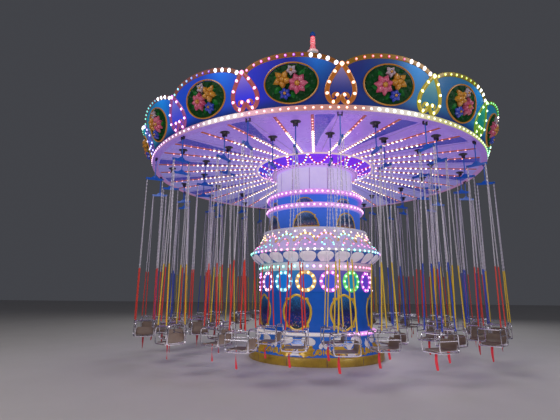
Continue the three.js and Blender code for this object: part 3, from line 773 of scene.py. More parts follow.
for k in range(8):
    spool_wall, spade_wall = skirt_wall(SPOOL_AT + FIELD_STEP * k), skirt_wall(SPADE_AT + FIELD_STEP * k)
    ornament.append(boss(mirrored(spool_half), 0.016, spool_wall, power=4))
    ornament.append(boss(curve_through(mirrored(spade_half), 3), 0.014, spade_wall, power=3))
    ornament.append(ribbon([(0.0, 0.36), (0.0, 0.31), (0.0, 0.25)], [0.012, 0.02, 0.008], 0.012, spade_wall,
                           material=1))
    for side in (-1.0, 1.0):
        flip = np.array([side, 1.0])
        petal = oval(PETAL_MIDDLE * flip, 0.172, 0.084, 28, 2.4)
        petal = turned_about(petal, PETAL_MIDDLE * flip, -side * 10)
        ornament.append(boss(petal, 0.022, spool_wall, power=2.5))
        leaf_here = turned_about((leaf + LEAF_MIDDLE) * flip, LEAF_MIDDLE * flip, side * 8)
        ornament.append(boss(leaf_here, 0.024, spool_wall, rings=5, power=2.2, material=1))
        for reach in (0.065, 0.0, -0.065):
            vein = np.array([(0.09, 0.325), (0.20, 0.325 + 0.5 * reach), (0.30, 0.335 + reach),
                             (0.39, 0.345 + 1.2 * reach)])
            vein = curve_through(vein * flip, 4, closed=False)
            ornament.append(ribbon(vein, np.linspace(0.012, 0.005, len(vein)), 0.030, spool_wall, material=1))
        curl = spiral(CURL_MIDDLE * flip, 0.068, 0.012, -0.1, 1.35, 26, mirror=side)
        ornament.append(ribbon(curl, np.linspace(0.022, 0.014, len(curl)), 0.016, spade_wall, material=1))
        tail = np.array([(0.160, 0.30), (0.2, 0.25), (0.27, 0.232), (0.33, 0.25)])
        tail = curve_through(tail * flip, 4, closed=False)
        ornament.append(ribbon(tail, np.linspace(0.02, 0.006, len(tail)), 0.014, spade_wall, material=1))
piece("skirt_shell", [skirt_body], [skirt_blue, band_white], "tower", ["base_skirt"])
piece("skirt_scrollwork", ornament, [scroll_white, scroll_gold], "tower")


def skirt_colour(azimuth):
    """Dim cream caps in front, and lit pink ones round the right side and the back."""
    lit = (np.abs(azimuth - CREAM_MIDDLE) > CREAM_HALF + 0.25 * CREAM_FADE)[:, None]
    return np.where(lit, hue(312.0, 0.3), [0.26, 0.22, 0.19])


full_row(SKIRT_BAND_R, 0.6805, 72, skirt_colour, 0.016)
print("skirt ornaments:", len(ornament))

# %% [markdown]
# ## Lower drum
#
# Blue sheets carry eight framed garden pictures, then sixteen circles of lamps, then a white lamp band.
# Each picture is a generic garden painted by noise: sky above, then leaves, and ground with flowers at the
# foot.
# A picture file could show finer strokes, but noise in the picture's own UV map needs no file at all.

# %% Garden pictures
def colour_ramp(tree, value, stops, kind="LINEAR"):
    """Colours read from a ramp of (position, colour) stops, in order."""
    node = new_node(tree, "ShaderNodeValToRGB", {"Fac": value})
    node.color_ramp.interpolation = kind
    first, last = node.color_ramp.elements
    first.position, first.color = stops[0][0], (*stops[0][1], 1.0)
    last.position, last.color = stops[-1][0], (*stops[-1][1], 1.0)
    for position, colour in stops[1:-1]:
        node.color_ramp.elements.new(position).color = (*colour, 1.0)
    return node.outputs["Color"]


def garden_picture(name, sky, leaves, ground, petals):
    """A painted garden in UV from -1 to 1: sky that fades to leaves by height, and small flowers below."""
    material, tree, shader = new_material(name)
    where = new_node(tree, "ShaderNodeTexCoord").outputs["UV"]
    up = new_node(tree, "ShaderNodeSeparateXYZ", {0: where}).outputs["Y"]
    clumps = new_node(tree, "ShaderNodeTexNoise", {"Vector": where, "Scale": 3.2, "Detail": 7.0,
                                                   "Roughness": 0.65}).outputs["Fac"]
    strokes = new_node(tree, "ShaderNodeTexNoise", {"Vector": where, "Scale": 14.0, "Detail": 3.0,
                                                    "Distortion": 1.2}).outputs["Fac"]
    flowers = new_node(tree, "ShaderNodeTexVoronoi", {"Vector": where, "Scale": 9.0, "Randomness": 0.9})
    level = ranged(tree, worked_out(tree, "MULTIPLY_ADD", clumps, 1.6, up), -0.2, 1.75)
    deep_leaves, deep_sky = [0.4 * c for c in leaves], [0.5 * c for c in sky]
    layers = colour_ramp(tree, level, [(0.0, ground), (0.3, leaves), (0.55, deep_leaves), (0.75, deep_sky),
                                       (1.0, sky)])
    dabs = ranged(tree, strokes, 0.35, 0.7, 0.45, 1.7)
    painted = new_node(tree, "ShaderNodeVectorMath", {0: layers, "Scale": dabs}, operation="SCALE").outputs[0]
    low = ranged(tree, up, -0.85, 0.05, 1.0, 0.0)
    near = ranged(tree, flowers.outputs["Distance"], 0.22, 0.4, 1.0, 0.0)
    bloom = worked_out(tree, "MULTIPLY", low, near)
    draw = new_node(tree, "ShaderNodeSeparateXYZ", {0: flowers.outputs["Color"]}).outputs["X"]
    kind = colour_ramp(tree, draw, [(0.0, petals[0]), (0.4, petals[2]), (0.7, petals[1])], "CONSTANT")
    relief = new_node(tree, "ShaderNodeBump", {"Strength": 0.4, "Distance": 0.002, "Height": strokes})
    feed(tree, shader, {
        "Base Color": mixed_colour(tree, bloom, painted, kind), "Normal": relief.outputs["Normal"],
        "Roughness": 0.42, "Specular IOR Level": 0.3, "Coat Weight": 0.08})
    return material


dusk_garden = garden_picture("dusk_garden", (0.008, 0.14, 0.40), (0.004, 0.022, 0.22), (0.003, 0.035, 0.040),
                             ((0.5, 0.05, 0.03), (0.55, 0.30, 0.05), (0.45, 0.36, 0.45)))
lake_garden = garden_picture("lake_garden", (0.10, 0.26, 0.60), (0.03, 0.10, 0.22), (0.20, 0.07, 0.05),
                             ((0.6, 0.06, 0.04), (0.7, 0.50, 0.25), (0.6, 0.5, 0.6)))
print("pictures:", dusk_garden.name, lake_garden.name)


def framed_pictures(outline, walls, half_width, relief, depth, middle, half_size, sink=0.006):
    """A gilt band and a painted field on each wall. The field's UV runs from -1 to 1 across the frame."""
    parts = []
    for wall in walls:
        field = boss(outline, depth, wall, rings=6, power=12, sink=sink, material=1)
        field["uv"] = (field["uv"] - [0.0, middle]) / half_size
        parts += [ribbon(outline, half_width, relief, wall, closed=True, sink=sink), field]
    return parts

# %% Lower drum
DRUM_R, CIRCLE_R, LIGHT_R = 1.47, 1.482, 1.505
PICTURE_Z, CIRCLE_Z, BAND_FOOT_Z = 1.163, 1.89, 2.145
PICTURE_AT, CIRCLE_AT, CIRCLE_STEP = -17.6, -8.8, 22.5
drum_profile = [(TOWER_INSIDE_R, 0.7183), (DRUM_R, 0.7183), (DRUM_R, 1.627), (1.476, 1.635), (CIRCLE_R, 1.64),
                (CIRCLE_R, BAND_FOOT_Z), (1.498, 2.147), (LIGHT_R, 2.155), (LIGHT_R, 2.34), (1.498, 2.35),
                (TOWER_INSIDE_R, 2.35)]
drum_shell = turned(drum_profile, TOWER_SIDES, [0, 0, 0, 0, 0, 1, 1, 1, 1, 1, 0])
frame_half = [(0.0, 0.405), (0.050, 0.398), (0.110, 0.368), (0.160, 0.330), (0.205, 0.312), (0.262, 0.318),
              (0.268, 0.312), (0.262, 0.268), (0.272, 0.245), (0.318, 0.165), (0.342, 0.070), (0.342, -0.030),
              (0.320, -0.135), (0.276, -0.225), (0.262, -0.255), (0.276, -0.312), (0.270, -0.318),
              (0.205, -0.318), (0.150, -0.345), (0.090, -0.385), (0.040, -0.398), (0.0, -0.402)]
lower_frame = curve_through(mirrored(frame_half), 2) + [0.0, PICTURE_Z]
lower_walls = [drum_wall(PICTURE_AT + FIELD_STEP * k, DRUM_R) for k in range(8)]
frames_parts = framed_pictures(lower_frame, lower_walls, 0.028, 0.020, 0.006, PICTURE_Z, [0.33, 0.40])
ring_path = circle(0.213, 40) + [0.0, CIRCLE_Z]
ring_hues = [(320.0, 0.5), (195.0, 0.1), (38.0, 0.0), (295.0, 0.15), (120.0, 0.0), (290.0, 0.1)]
ring_plate = paint("ring_plate", (0.24, 0.23, 0.27), (0.12, 0.11, 0.14), 0.4, 0.35, coat=0.2, lit=1.0)
disc_lights = [(0.02, 0.03, 0.22), (0.0, 0.10, 0.30), (0.01, 0.06, 0.18), (0.05, 0.03, 0.30),
               (0.0, 0.17, 0.12), (0.10, 0.01, 0.30)]
circle_parts = []
for k in range(16):
    angle, white = ring_hues[k % 6]
    wall = drum_wall(CIRCLE_AT + CIRCLE_STEP * (k - 2), CIRCLE_R)
    ring_light = 0.42 * hue(angle, white) ** 1.5
    circle_parts.append(ribbon(ring_path, 0.044, 0.012, wall, closed=True, glow=ring_light))
    circle_parts.append(boss(oval((0.0, CIRCLE_Z), 0.172, 0.172), 0.004, wall, power=10, material=1,
                             glow=disc_lights[k % 6]))
    spots = even_points(ring_path, 10)
    add_lamps("tower", wall, *spots.T, hue(angle, white + 0.12), 0.026, 0.010)
lit_by_height(drum_shell, [0.72, 1.63, 1.64, 2.14], [(0.0, 0.008, 0.03), (0.0, 0.012, 0.04),
                                                     (0.0, 0.015, 0.07), (0.005, 0.02, 0.08)])
piece("lower_pictures", frames_parts, [frame_gold, dusk_garden], "tower")
piece("lamp_circles", circle_parts, [ring_plate, drum_blue], "tower")


def band_colour(azimuth):
    """Green at the left to cyan near the middle, then pink on the right and round the back."""
    turn = np.abs(azimuth)
    return hue(np.interp(azimuth, [-180, -60, -15, 5, 45, 180], [330, 145, 175, 320, 345, 330]),
               np.interp(turn, [0, 20, 60, 180], [0.35, 0.25, 0.10, 0.25]))


above_circles = (drum_shell["points"][:, 2] > BAND_FOOT_Z - EDGE)[:, None]
band_light = 0.11 * band_colour(azimuth_of(drum_shell["points"]))
drum_shell["glow"] = np.where(above_circles, band_light, drum_shell["glow"])
piece("lower_drum_shell", [drum_shell], [drum_blue, band_white], "tower", ["lower_drum"])
full_row(LIGHT_R, 2.245, 60, band_colour, 0.024, -1.0)

# %% Cove
cove_z, cove_r = flared((1.505, 2.3503), (1.735, 2.60), 12)
cove_profile = [(TOWER_INSIDE_R, 2.3503)] + list(zip(cove_r, cove_z)) + [(TOWER_INSIDE_R, 2.60)]
cove_shell = turned(cove_profile, TOWER_SIDES, glow=(0.005, 0.02, 0.10))
scallop_half = [(0.0, 2.588), (0.09, 2.58), (0.155, 2.555), (0.19, 2.51), (0.193, 2.47), (0.17, 2.42),
                (0.13, 2.38), (0.095, 2.356), (0.0, 2.354)]
scallop = curve_through(mirrored(scallop_half), 3)
SCALLOP_AT, SCALLOP_STEP = -5.7, 14.4
scallops = [boss(scallop, 0.010, profile_wall(SCALLOP_AT + SCALLOP_STEP * k, cove_z, cove_r), power=5,
                 glow=(0.15, 0.13, 0.20)) for k in range(25)]
piece("cove_bowl_shell", [cove_shell], [cove_blue], "tower", ["cove_bowl"])
piece("cove_scallops", scallops, [scallop_white], "tower")

# %% [markdown]
# ## Cornice
#
# The bell runs in from a wide lip and rises to a white moulding. Gilt arches stand round it,
# and rows of lamps follow the lip, the arches and the moulding.
# The arches are ribbons on the bell's own profile, so that they lean back with it.

# %% Cornice bell
LIP_R, UPPER_INSIDE_R = 1.749, 1.215
ARCH_AT, ARCH_STEP = -9.0, 20.0
bell_z, bell_r = flared((LIP_R, 2.6503), (1.412, 3.16), 14)
bell_profile = [(UPPER_INSIDE_R, 2.6003), (1.743, 2.6003), (LIP_R, 2.608), (LIP_R, 2.645)]
bell_profile += list(zip(bell_r, bell_z))
bell_profile += [(1.418, 3.162), (1.424, 3.168), (1.424, 3.204), (1.418, 3.21), (UPPER_INSIDE_R, 3.21)]
bell_shell = turned(bell_profile, TOWER_SIDES, [0, 0, 1, 1] + [0] * 13 + [1] * 6)
lit_by_height(bell_shell, [2.60, 2.65, 3.0, 3.2], [(0.02, 0.04, 0.03), (0.07, 0.10, 0.14), (0.08, 0.13, 0.17),
                                                 (0.06, 0.08, 0.10)])


def bell_wall(azimuth):
    """The bell's own profile as a wall."""
    return profile_wall(azimuth, bell_z, bell_r)


bell_middle = float(np.mean(bell_r))
arch_t = np.linspace(-1.0, 1.0, 19)
arch_path = np.stack([0.255 * arch_t, 2.84 + 0.215 * np.sqrt(1.0001 - arch_t ** 2)], axis=-1)
inner_arch = np.stack([0.13 * arch_t, 2.80 + 0.12 * np.sqrt(1.0001 - arch_t ** 2)], axis=-1)
arches = []
for k in range(18):
    wall = bell_wall(ARCH_AT + ARCH_STEP * k)
    # Both arches carry painted lamp light: amber on the outer one, and on the inner one a colour that changes
    # from arch to arch.
    inner_arch_light = hue([25.0, 300.0, 165.0][k % 3], 0.4)
    arches.append(ribbon(arch_path, 0.015, 0.012, wall, glow=(0.10, 0.05, 0.0)))
    arches.append(ribbon(inner_arch, 0.010, 0.008, wall, glow=0.08 * inner_arch_light))
    spots = even_points(arch_path, 7, closed=False)[1:-1]
    add_lamps("tower", wall, spots[:, 0], spots[:, 1], hue([38.0, 335.0, 165.0][k % 3], 0.3), 0.021, 0.008)
    spots = even_points(inner_arch, 3, closed=False)
    add_lamps("tower", wall, spots[:, 0], spots[:, 1], hue([320.0, 175.0, 345.0][k % 3], 0.1), 0.017, 0.006)
piece("cornice_shell", [bell_shell], [bell_lilac, band_white], "tower", ["cornice_bell"])
piece("cornice_arches", arches, [frame_gold], "tower")


def lip_colour(azimuth):
    """Green at the left, then pink, white in the middle, cyan on the right, and pink round the back."""
    turn = [-180, -75, -62, -48, -14, -8, 18, 26, 62, 80, 180]
    angle = np.interp(azimuth, turn, [320, 150, 165, 325, 345, 40, 40, 165, 175, 320, 320])
    return hue(angle, np.interp(azimuth, turn, [0.3, 0.1, 0.15, 0.25, 0.3, 0.9, 0.9, 0.2, 0.3, 0.3, 0.3]))


def second_colour(azimuth):
    """Small pink lamps, with cyan ones in five stretches, where sin(5 a) is over 0.3."""
    return hue(np.where(np.sin(np.radians(5.0 * azimuth)) > 0.3, 175.0, 338.0), 0.15)


def amber(azimuth):
    """The same amber for every lamp of a row."""
    return np.tile(hue(35.0, 0.35), (len(azimuth), 1))


full_row(LIP_R, 2.627, 66, lip_colour, 0.021)
full_row(bell_middle, 2.75, 45, second_colour, 0.018, wall=bell_wall(0.0))
full_row(bell_middle, 3.115, 36, amber, 0.018, wall=bell_wall(0.0))

# %% [markdown]
# ## Upper drum, sleeve and barrel
#
# Above the cornice a narrower drum with framed pictures ends in a lamp ring. The lifting sleeve stands
# inside it with the same arches and its own ring, and the white barrel with upright seams carries the canopy.
# The sleeve and barrel ride on the head, so they are separate pieces from the fixed drum.

# %% Upper drum
UPPER_R, UPPER_RING_R = 1.255, 1.333
SEVENTH, UPPER_AT, SLEEVE_AT, SEAM_AT = 360.0 / 7, -10.4, -12.3, -6.7
upper_half = [(0.0, 3.622), (0.08, 3.612), (0.15, 3.585), (0.19, 3.55), (0.238, 3.53), (0.232, 3.49),
              (0.265, 3.45), (0.30, 3.38), (0.315, 3.31), (0.318, 3.25), (0.0, 3.245)]
upper_frame = curve_through(mirrored(upper_half), 4)
upper_frame[:, 1] = np.maximum(upper_frame[:, 1], 3.222)
upper_walls = [drum_wall(UPPER_AT + SEVENTH * k, UPPER_R) for k in range(7)]
upper_parts = framed_pictures(upper_frame, upper_walls, 0.018, 0.014, 0.006, 3.43, [0.3, 0.2])
upper_profile = [(UPPER_INSIDE_R, 3.2103), (UPPER_R, 3.2103), (UPPER_R, 3.72), (1.325, 3.728),
                 (UPPER_RING_R, 3.736), (UPPER_RING_R, 3.845), (1.325, 3.853), (UPPER_INSIDE_R, 3.853)]
upper_shell = turned(upper_profile, 144, [0, 0, 1, 1, 1, 1, 1, 0])
lit_by_height(upper_shell, [3.21, 3.721, 3.73, 3.86], [(0.02, 0.05, 0.16), (0.04, 0.08, 0.34),
                                                      (0.32, 0.06, 0.38), (0.34, 0.09, 0.38)])
piece("upper_drum_shell", [upper_shell], [drum_blue, band_white], "tower", ["upper_drum"])
piece("upper_pictures", upper_parts, [frame_gold, lake_garden], "tower")


def ring_pink(azimuth):
    """Pale pink lamps whose colour angle swings three times round the ring: 312 + 8 cos(3 a)."""
    return hue(312.0 + 8.0 * np.cos(np.radians(3 * azimuth)), 0.35)


full_row(UPPER_RING_R, 3.79, 56, ring_pink, 0.022)

# %% Sleeve and barrel
SLEEVE_R, SLEEVE_RING_R, LEDGE_Z, BARREL_R = 1.2, 1.323, 4.066, 1.055
sleeve_profile = [(0.0, 4.147), (1.15, 4.147), (1.15, 0.2003), (SLEEVE_R, 0.2003), (SLEEVE_R, LEDGE_Z),
                  (1.315, 4.074), (SLEEVE_RING_R, 4.082), (SLEEVE_RING_R, 4.189), (1.315, 4.197),
                  (0.0, 4.197)]
sleeve_shell = capped(sleeve_profile, 144)
above_ring = sleeve_shell["points"][sleeve_shell["faces"]][:, :4, 2].mean(axis=1) > LEDGE_Z
outside = reach_of(sleeve_shell["points"][sleeve_shell["faces"][:, 0]]) > SLEEVE_R + EDGE
sleeve_shell["material"] = (above_ring & outside).astype(np.int32)
lit_by_height(sleeve_shell, [0.2, 4.067, 4.074, 4.2], [(0.0, 0.0, 0.0), (0.04, 0.10, 0.40),
                                                       (0.36, 0.06, 0.42), (0.40, 0.11, 0.44)])
sleeve_half = [(0.0, 4.0), (0.08, 3.992), (0.135, 3.965), (0.165, 3.93), (0.205, 3.912), (0.20, 3.87),
               (0.23, 3.82), (0.26, 3.74), (0.275, 3.66), (0.28, 3.58), (0.0, 3.575)]
sleeve_frame = curve_through(mirrored(sleeve_half), 4)
sleeve_walls = [drum_wall(SLEEVE_AT + SEVENTH * k, SLEEVE_R) for k in range(7)]
sleeve_parts = framed_pictures(sleeve_frame, sleeve_walls, 0.014, 0.0095, 0.005, 3.79, [0.28, 0.22], 0.004)
piece("sleeve_shell", [sleeve_shell], [drum_blue, band_white], "lifting_head", ["lift_sleeve"])
piece("sleeve_pictures", sleeve_parts, [frame_gold, lake_garden], "lifting_head")
full_row(SLEEVE_RING_R, 4.138, 60, ring_pink, 0.022, 3.0, "lifting_head")
barrel_profile = [(0.0, 4.95), (1.005, 4.95), (1.005, 4.1973), (BARREL_R, 4.1973), (BARREL_R, 5.0),
                  (0.0, 5.0)]
barrel_shell = capped(barrel_profile, 144)
lit_by_height(barrel_shell, [4.19, 5.0], [(0.28, 0.27, 0.36), (0.26, 0.25, 0.38)])
seams = [ribbon([(0.0, 4.21), (0.0, 4.5), (0.0, 4.84)], 0.009, 0.003,
                drum_wall(SEAM_AT + 0.5 * SEVENTH * k, BARREL_R), sink=0.004, material=1) for k in range(14)]
piece("barrel_shell", [barrel_shell] + seams, [barrel_white, bell_lilac], "lifting_head",
      ["head_barrel"])

# %% [markdown]
# ## Canopy underside
#
# A blue disc with swags of lamps surrounds the barrel. From its rim a lilac underside falls outwards,
# its lilac part paint and part painted LED light, crossed by 32 red ribs with two kinds of lamps,
# and the chairs' brackets hang below it.
# The ribs are short straight bars on the real ride, so they are bands on the underside's own cone.

# %% Flare
def facing(points, azimuth):
    """A share for each point, from 1 at an azimuth to 0 opposite it: (1 + cos(a - a0)) / 2."""
    return (0.5 + 0.5 * np.cos(np.radians(azimuth_of(points) - azimuth)))[:, None]


MIDDLE_EDGE = (1.245, 4.8928)
flare_profile = [(0.0, 5.0003), (1.075, 5.0003), (1.075, 4.853), (1.078, 4.85), (1.135, 4.85), (1.19, 4.8714),
                 MIDDLE_EDGE, (1.25, 4.8948), (1.3, 4.9143), (1.45, 4.9727), (1.608, 5.034),
                 (1.648, 5.036), (1.65, 5.04), (1.65, 5.083), (1.646, 5.085), (0.0, 5.085)]
flare_shell = capped(flare_profile, 144)
first_corners = flare_shell["points"][flare_shell["faces"][:, 0]]
by_barrel = (first_corners[:, 2] < MIDDLE_EDGE[1] + EDGE) & (reach_of(first_corners) < MIDDLE_EDGE[0] + EDGE)
flare_shell["material"] = by_barrel.astype(np.int32)
# Painted lamp light on the flare: blue, turning violet towards azimuth 25, and lilac on the part by the
# barrel.
violet_light_share = facing(flare_shell["points"], 25.0) ** 2
flare_light = (1.0 - violet_light_share) * np.array([0.01, 0.03, 0.45]) + violet_light_share * np.array([0.17, 0.0, 0.55])
in_middle = (reach_of(flare_shell["points"]) < MIDDLE_EDGE[0] + EDGE)[:, None]
flare_shell["glow"] = np.where(in_middle, [0.30, 0.17, 0.46], flare_light)
BEAD_SIDES, BEAD_R, BEAD_Z = 128, 1.628, 5.034
bead_angle = np.arange(BEAD_SIDES) * 360.0 / BEAD_SIDES
# The bead at the flare's edge carries a pale painted lamp light.
bead = swept(place(bead_angle, BEAD_R, BEAD_Z), place(bead_angle, 1.0, 0.0),
             np.tile([0.0, 0.0, 1.0], (BEAD_SIDES, 1)), circle(0.026, 8), True, 2, (0.50, 0.40, 0.42))
flare_parts = [flare_shell, bead]
SWAG_STEP, FIRST_SWAG, HOLE_STEP, FIRST_HOLE = 20.0, 4.5, 5.0, 2.5
swag_t = np.linspace(-1.0, 1.0, 15)
swag = np.stack([0.26 * swag_t * (0.9 + 0.1 * swag_t ** 2), 1.245 + 0.335 * swag_t ** 2], axis=-1)
swag_hues = [275.0, 300.0, 200.0]
spots = even_points(swag, 9, closed=False)
for k in range(18):
    wall = cone_wall(FIRST_SWAG + SWAG_STEP * k, *FLARE)
    flare_parts.append(ribbon(swag, 0.020, 0.012, wall, material=3, glow=(0.30, 0.01, 0.06)))
    add_lamps("canopy", wall, *spots.T, hue(swag_hues[k % 3], 0.45), 0.018, 0.008)
# Painted shade: 72 shallow dark ovals stand for holes, dark where shade would fill each hole.
hole_shade = oval((0.0, 1.195), 0.017, 0.030, 8)
flare_parts += [boss(hole_shade, 0.003, cone_wall(FIRST_HOLE + HOLE_STEP * k, *FLARE), rings=1, power=6, sink=0.004,
                     material=4) for k in range(72)]
piece("flare_disc", flare_parts, [flare_blue, flare_dark, rim_cream, swag_red, joint_dark_and_hole_shade],
      "canopy", ["canopy_flare"])

# %% Deck
DECK_THICK, RIB_OFF, FADE_WIDTH, BLACK = 0.05, 4.7, 2.9, 3
deck_r = np.concatenate([[1.6503], np.linspace(1.8, 4.2, 13), [4.306]])
deck_z = cone_height(deck_r, *DECK)
deck_profile = list(zip(deck_r, deck_z)) + list(zip(deck_r[::-1], deck_z[::-1] + DECK_THICK))
deck_shell = turned(deck_profile, TOWER_SIDES, [0] * (len(deck_r) - 1) + [4] * (len(deck_r) + 1))
# Painted lamp light on the deck: brighter near the barrel and pinker towards the front; the ribs and wedges
# carry their own.
outwards = reach_of(deck_shell["points"]) - DECK[0][0]
near_middle = np.clip(1.0 - outwards / FADE_WIDTH, 0.0, 1.0)[:, None]
warm_light_share = facing(deck_shell["points"], 10.0) ** 3
deck_glow = np.array([0.085, 0.105, 0.26]) + warm_light_share * np.array([0.010, -0.075, 0.0])
deck_shell["glow"] = deck_glow + near_middle * np.array([0.050, 0.025, 0.110])
rib_path = [(0.0, r) for r in np.linspace(1.69, 4.28, 9)]
seam_path = [(0.0, r) for r in np.linspace(1.7, 4.28, 6)]
wedge = [(0.04, 2.2), (0.075, 2.2), (0.16, 2.9), (0.27, 3.5), (0.43, 4.27), (0.24, 4.275), (0.05, 4.27),
         (0.04, 3.5)]
large_at, small_at = np.arange(1.74, 3.36, 0.13), np.arange(3.40, 4.22, 0.165)
deck_parts = [deck_shell]
for centre in panel_azimuths:
    for side in (-1.0, 1.0):
        rib = cone_wall(centre + side * RIB_OFF, *DECK)
        deck_parts.append(ribbon(rib_path, 0.028, 0.016, rib, material=1, glow=(0.10, 0.025, 0.010)))
        add_lamps("canopy", rib, 0.0, large_at, (1.0, 0.84, 0.66), 0.024, 0.012)
        add_lamps("canopy", rib, 0.0, small_at, (1.0, 0.16, 0.10), 0.017, 0.012)
    wedge_wall = cone_wall(centre + RIB_OFF, *DECK)
    deck_parts.append(boss(wedge, 0.004, wedge_wall, rings=2, power=8, centre=(0.13, 3.5), material=2,
                           glow=(0.01, 0.015, 0.17)))
    deck_parts.append(ribbon(seam_path, 0.008, 0.004, cone_wall(centre + 0.5 * PANEL_STEP, *DECK)))
cup = capped([(0.0, 0.012), (0.098, 0.008), (0.104, -0.004), (0.060, -0.020), (0.034, -0.058), (0.0, -0.062)],
             14, BLACK)


def hung_frames(azimuths):
    """Frames for things hung under the canopy: e1 along the circle, e2 towards the tower, e3 up."""
    angle = np.radians(azimuths)
    zero, one = np.zeros_like(angle), np.ones_like(angle)
    along = np.stack([np.cos(angle), np.sin(angle), zero], axis=-1)
    inward = np.stack([-np.sin(angle), np.cos(angle), zero], axis=-1)
    return np.stack([along, inward, np.stack([zero, zero, one], axis=-1)], axis=1)


def cheek_pair(depth, width):
    """Two plates with rounded feet, 61.6 mm apart inside, so that they clear the pin's ends by 1.8 mm."""
    half = width / 2
    side = [(-half, 0.02), (-half, -depth + 0.028), (-half + 0.014, -depth + 0.006), (0.0, -depth),
            (half - 0.014, -depth + 0.006), (half, -depth + 0.028), (half, 0.02)]
    return gathered([flat_plate(side, 0.015, 0, offset, BLACK) for offset in (-0.0383, 0.0383)])


INNER_R, MIDDLE_R, OUTER_R = 3.150, 3.950, 4.372
brackets = []
for azimuths, radius in ((heart_azimuths, INNER_R), (panel_azimuths, MIDDLE_R)):
    origins = place(azimuths, radius, cone_height(radius, *DECK))
    brackets.append(copies(cup, origins - [0, 0, 0.002], hung_frames(azimuths)))
    brackets.append(copies(cheek_pair(0.11, 0.064), origins, hung_frames(azimuths)))
piece("deck_underside", deck_parts + brackets, [deck_lilac, rib_red, deck_violet, bracket_black, back_grey],
      "canopy", ["canopy_deck"])

# %% [markdown]
# ## Crown
#
# Sixteen leaning panels stand on the rim, each ending in a scallop. Gold-brown strips carry the lamps,
# a heart-shaped frame covers each joint, and every panel holds an oval relief.
# One closed skin makes all the panels: the same cross-section at 256 azimuths, with its top edge lifted
# by half an ellipse. Sixteen separate panels would leave cracks where they meet.

# %% Crown shell
JOINT_TOP, SCALLOP_GAIN = (4.655, 5.53), (0.0985, 0.27)
panel_turn = np.linspace(0.0, 1.0, 17)[:-1]
crown_azimuth = (FIRST_PANEL + PANEL_STEP * (np.arange(PANELS)[:, None] + panel_turn[None, :])).ravel()


def panel_share(azimuth):
    """How far an azimuth is across its panel, from 0 at one joint to 1 at the next."""
    return ((azimuth - FIRST_PANEL) / PANEL_STEP) % 1.0


def scallop_rise(azimuth):
    """Height of the scallop from 0 at a joint to 1 in the middle of a panel: sqrt(1 - across^2)."""
    turn = panel_share(azimuth)
    across = 2.0 * np.minimum(turn, 1.0 - turn)
    return np.sqrt(np.clip(1.0 - across ** 2, 0.0, 1.0))


def crown_top(azimuth):
    """Radius and height of the crown's top edge: a joint's, and more by the rise of the scallop."""
    rise = scallop_rise(azimuth)
    return JOINT_TOP[0] + SCALLOP_GAIN[0] * rise, JOINT_TOP[1] + SCALLOP_GAIN[1] * rise


RIM_INSIDE_R, RIM_R, BACK_R, RIM_FOOT_Z = 4.3065, 4.45, 4.4, 4.812
top_r, top_z = crown_top(crown_azimuth)
steps = np.linspace(0.0, 1.0, 6)
face_r = CROWN_FOOT_R + (top_r[:, None] - CROWN_FOOT_R) * steps
face_z = CROWN_FOOT_Z + (top_z[:, None] - CROWN_FOOT_Z) * steps
rim_r = np.array([RIM_INSIDE_R, 4.444, RIM_R, RIM_R, 4.444])
rim_z = np.array([RIM_FOOT_Z, RIM_FOOT_Z, 4.818, 4.919, CROWN_FOOT_Z])
count = len(crown_azimuth)
section_r = np.concatenate([np.tile(rim_r, (count, 1)), face_r[:, 1:], face_r[:, -1:] - 0.0455,
                            np.tile([BACK_R, RIM_INSIDE_R], (count, 1))], axis=1)
section_z = np.concatenate([np.tile(rim_z, (count, 1)), face_z[:, 1:], face_z[:, -1:],
                            np.tile([CROWN_FOOT_Z, CROWN_FOOT_Z], (count, 1))], axis=1)
crown_points = place(crown_azimuth[:, None], section_r, section_z)
crown_finish = np.array([4, 1, 1, 1, 0, 0, 0, 0, 0, 2, 2, 2, 2])
crown_shell = part(crown_points, net(count, 13, True, True), np.tile(crown_finish, count))


def led_hue(azimuth):
    """The lamps change colour round the crown: two full turns of the colour circle."""
    return 15.0 + 2.0 * (np.asarray(azimuth, float) - FIRST_HEART)


# Painted lamp light on the crown's faces: LED light near the lamps, a wash of lamp colours by azimuth, and a
# brighter side on each panel near its large lamps.
height_share = np.clip((section_z - CROWN_FOOT_Z) / (top_z[:, None] - CROWN_FOOT_Z), 0.0, 1.0)
near_joint = (1.0 - scallop_rise(crown_azimuth))[:, None]
near_lamps = height_share ** 4 + 0.8 * (1.0 - height_share) ** 4 + 0.5 * near_joint
led_light = 0.02 * hue(led_hue(crown_azimuth), 0.05)[:, None, :] * near_lamps[..., None]
wash_at = [-180, -120, -75, -62, -50, -37, -20, -13, -6, 2, 10, 17, 25, 34, 46, 60, 80, 120, 180]
wash_lights = [(0.01, 0.02, 0.12), (0.01, 0.02, 0.12), (0.0, 0.16, 0.10), (0.0, 0.16, 0.12), (0.0, 0.12, 0.18),
        (0.0, 0.035, 0.30), (0.0, 0.03, 0.30), (0.0, 0.0, 0.30), (0.0, 0.0, 0.12), (0.0, 0.0, 0.01),
        (0.0, 0.0, 0.01), (0.0, 0.02, 0.03), (0.0, 0.09, 0.16), (0.0, 0.06, 0.09), (0.0, 0.08, 0.14),
        (0.0, 0.10, 0.12), (0.0, 0.12, 0.06), (0.01, 0.02, 0.12), (0.01, 0.02, 0.12)]
wash_light = spread_round(crown_azimuth, wash_at, wash_lights)
BRIGHT_AT, BRIGHT_HALF = 0.27, 0.24
off_bright = np.abs(panel_share(crown_azimuth) - BRIGHT_AT)
bright_side = np.clip(1.0 - off_bright / BRIGHT_HALF, 0.0, 1.0)[:, None]
white_light = (bright_side * height_share ** 2)[..., None] * np.array([0.0, 0.15, 0.46])
on_face = (section_z > CROWN_FOOT_Z + EDGE) & (section_r > BACK_R + EDGE)
crown_shell["glow"] = ((led_light + wash_light[:, None] + white_light) * on_face[..., None]).reshape(-1, 3)
print("crown points:", crown_points.shape)

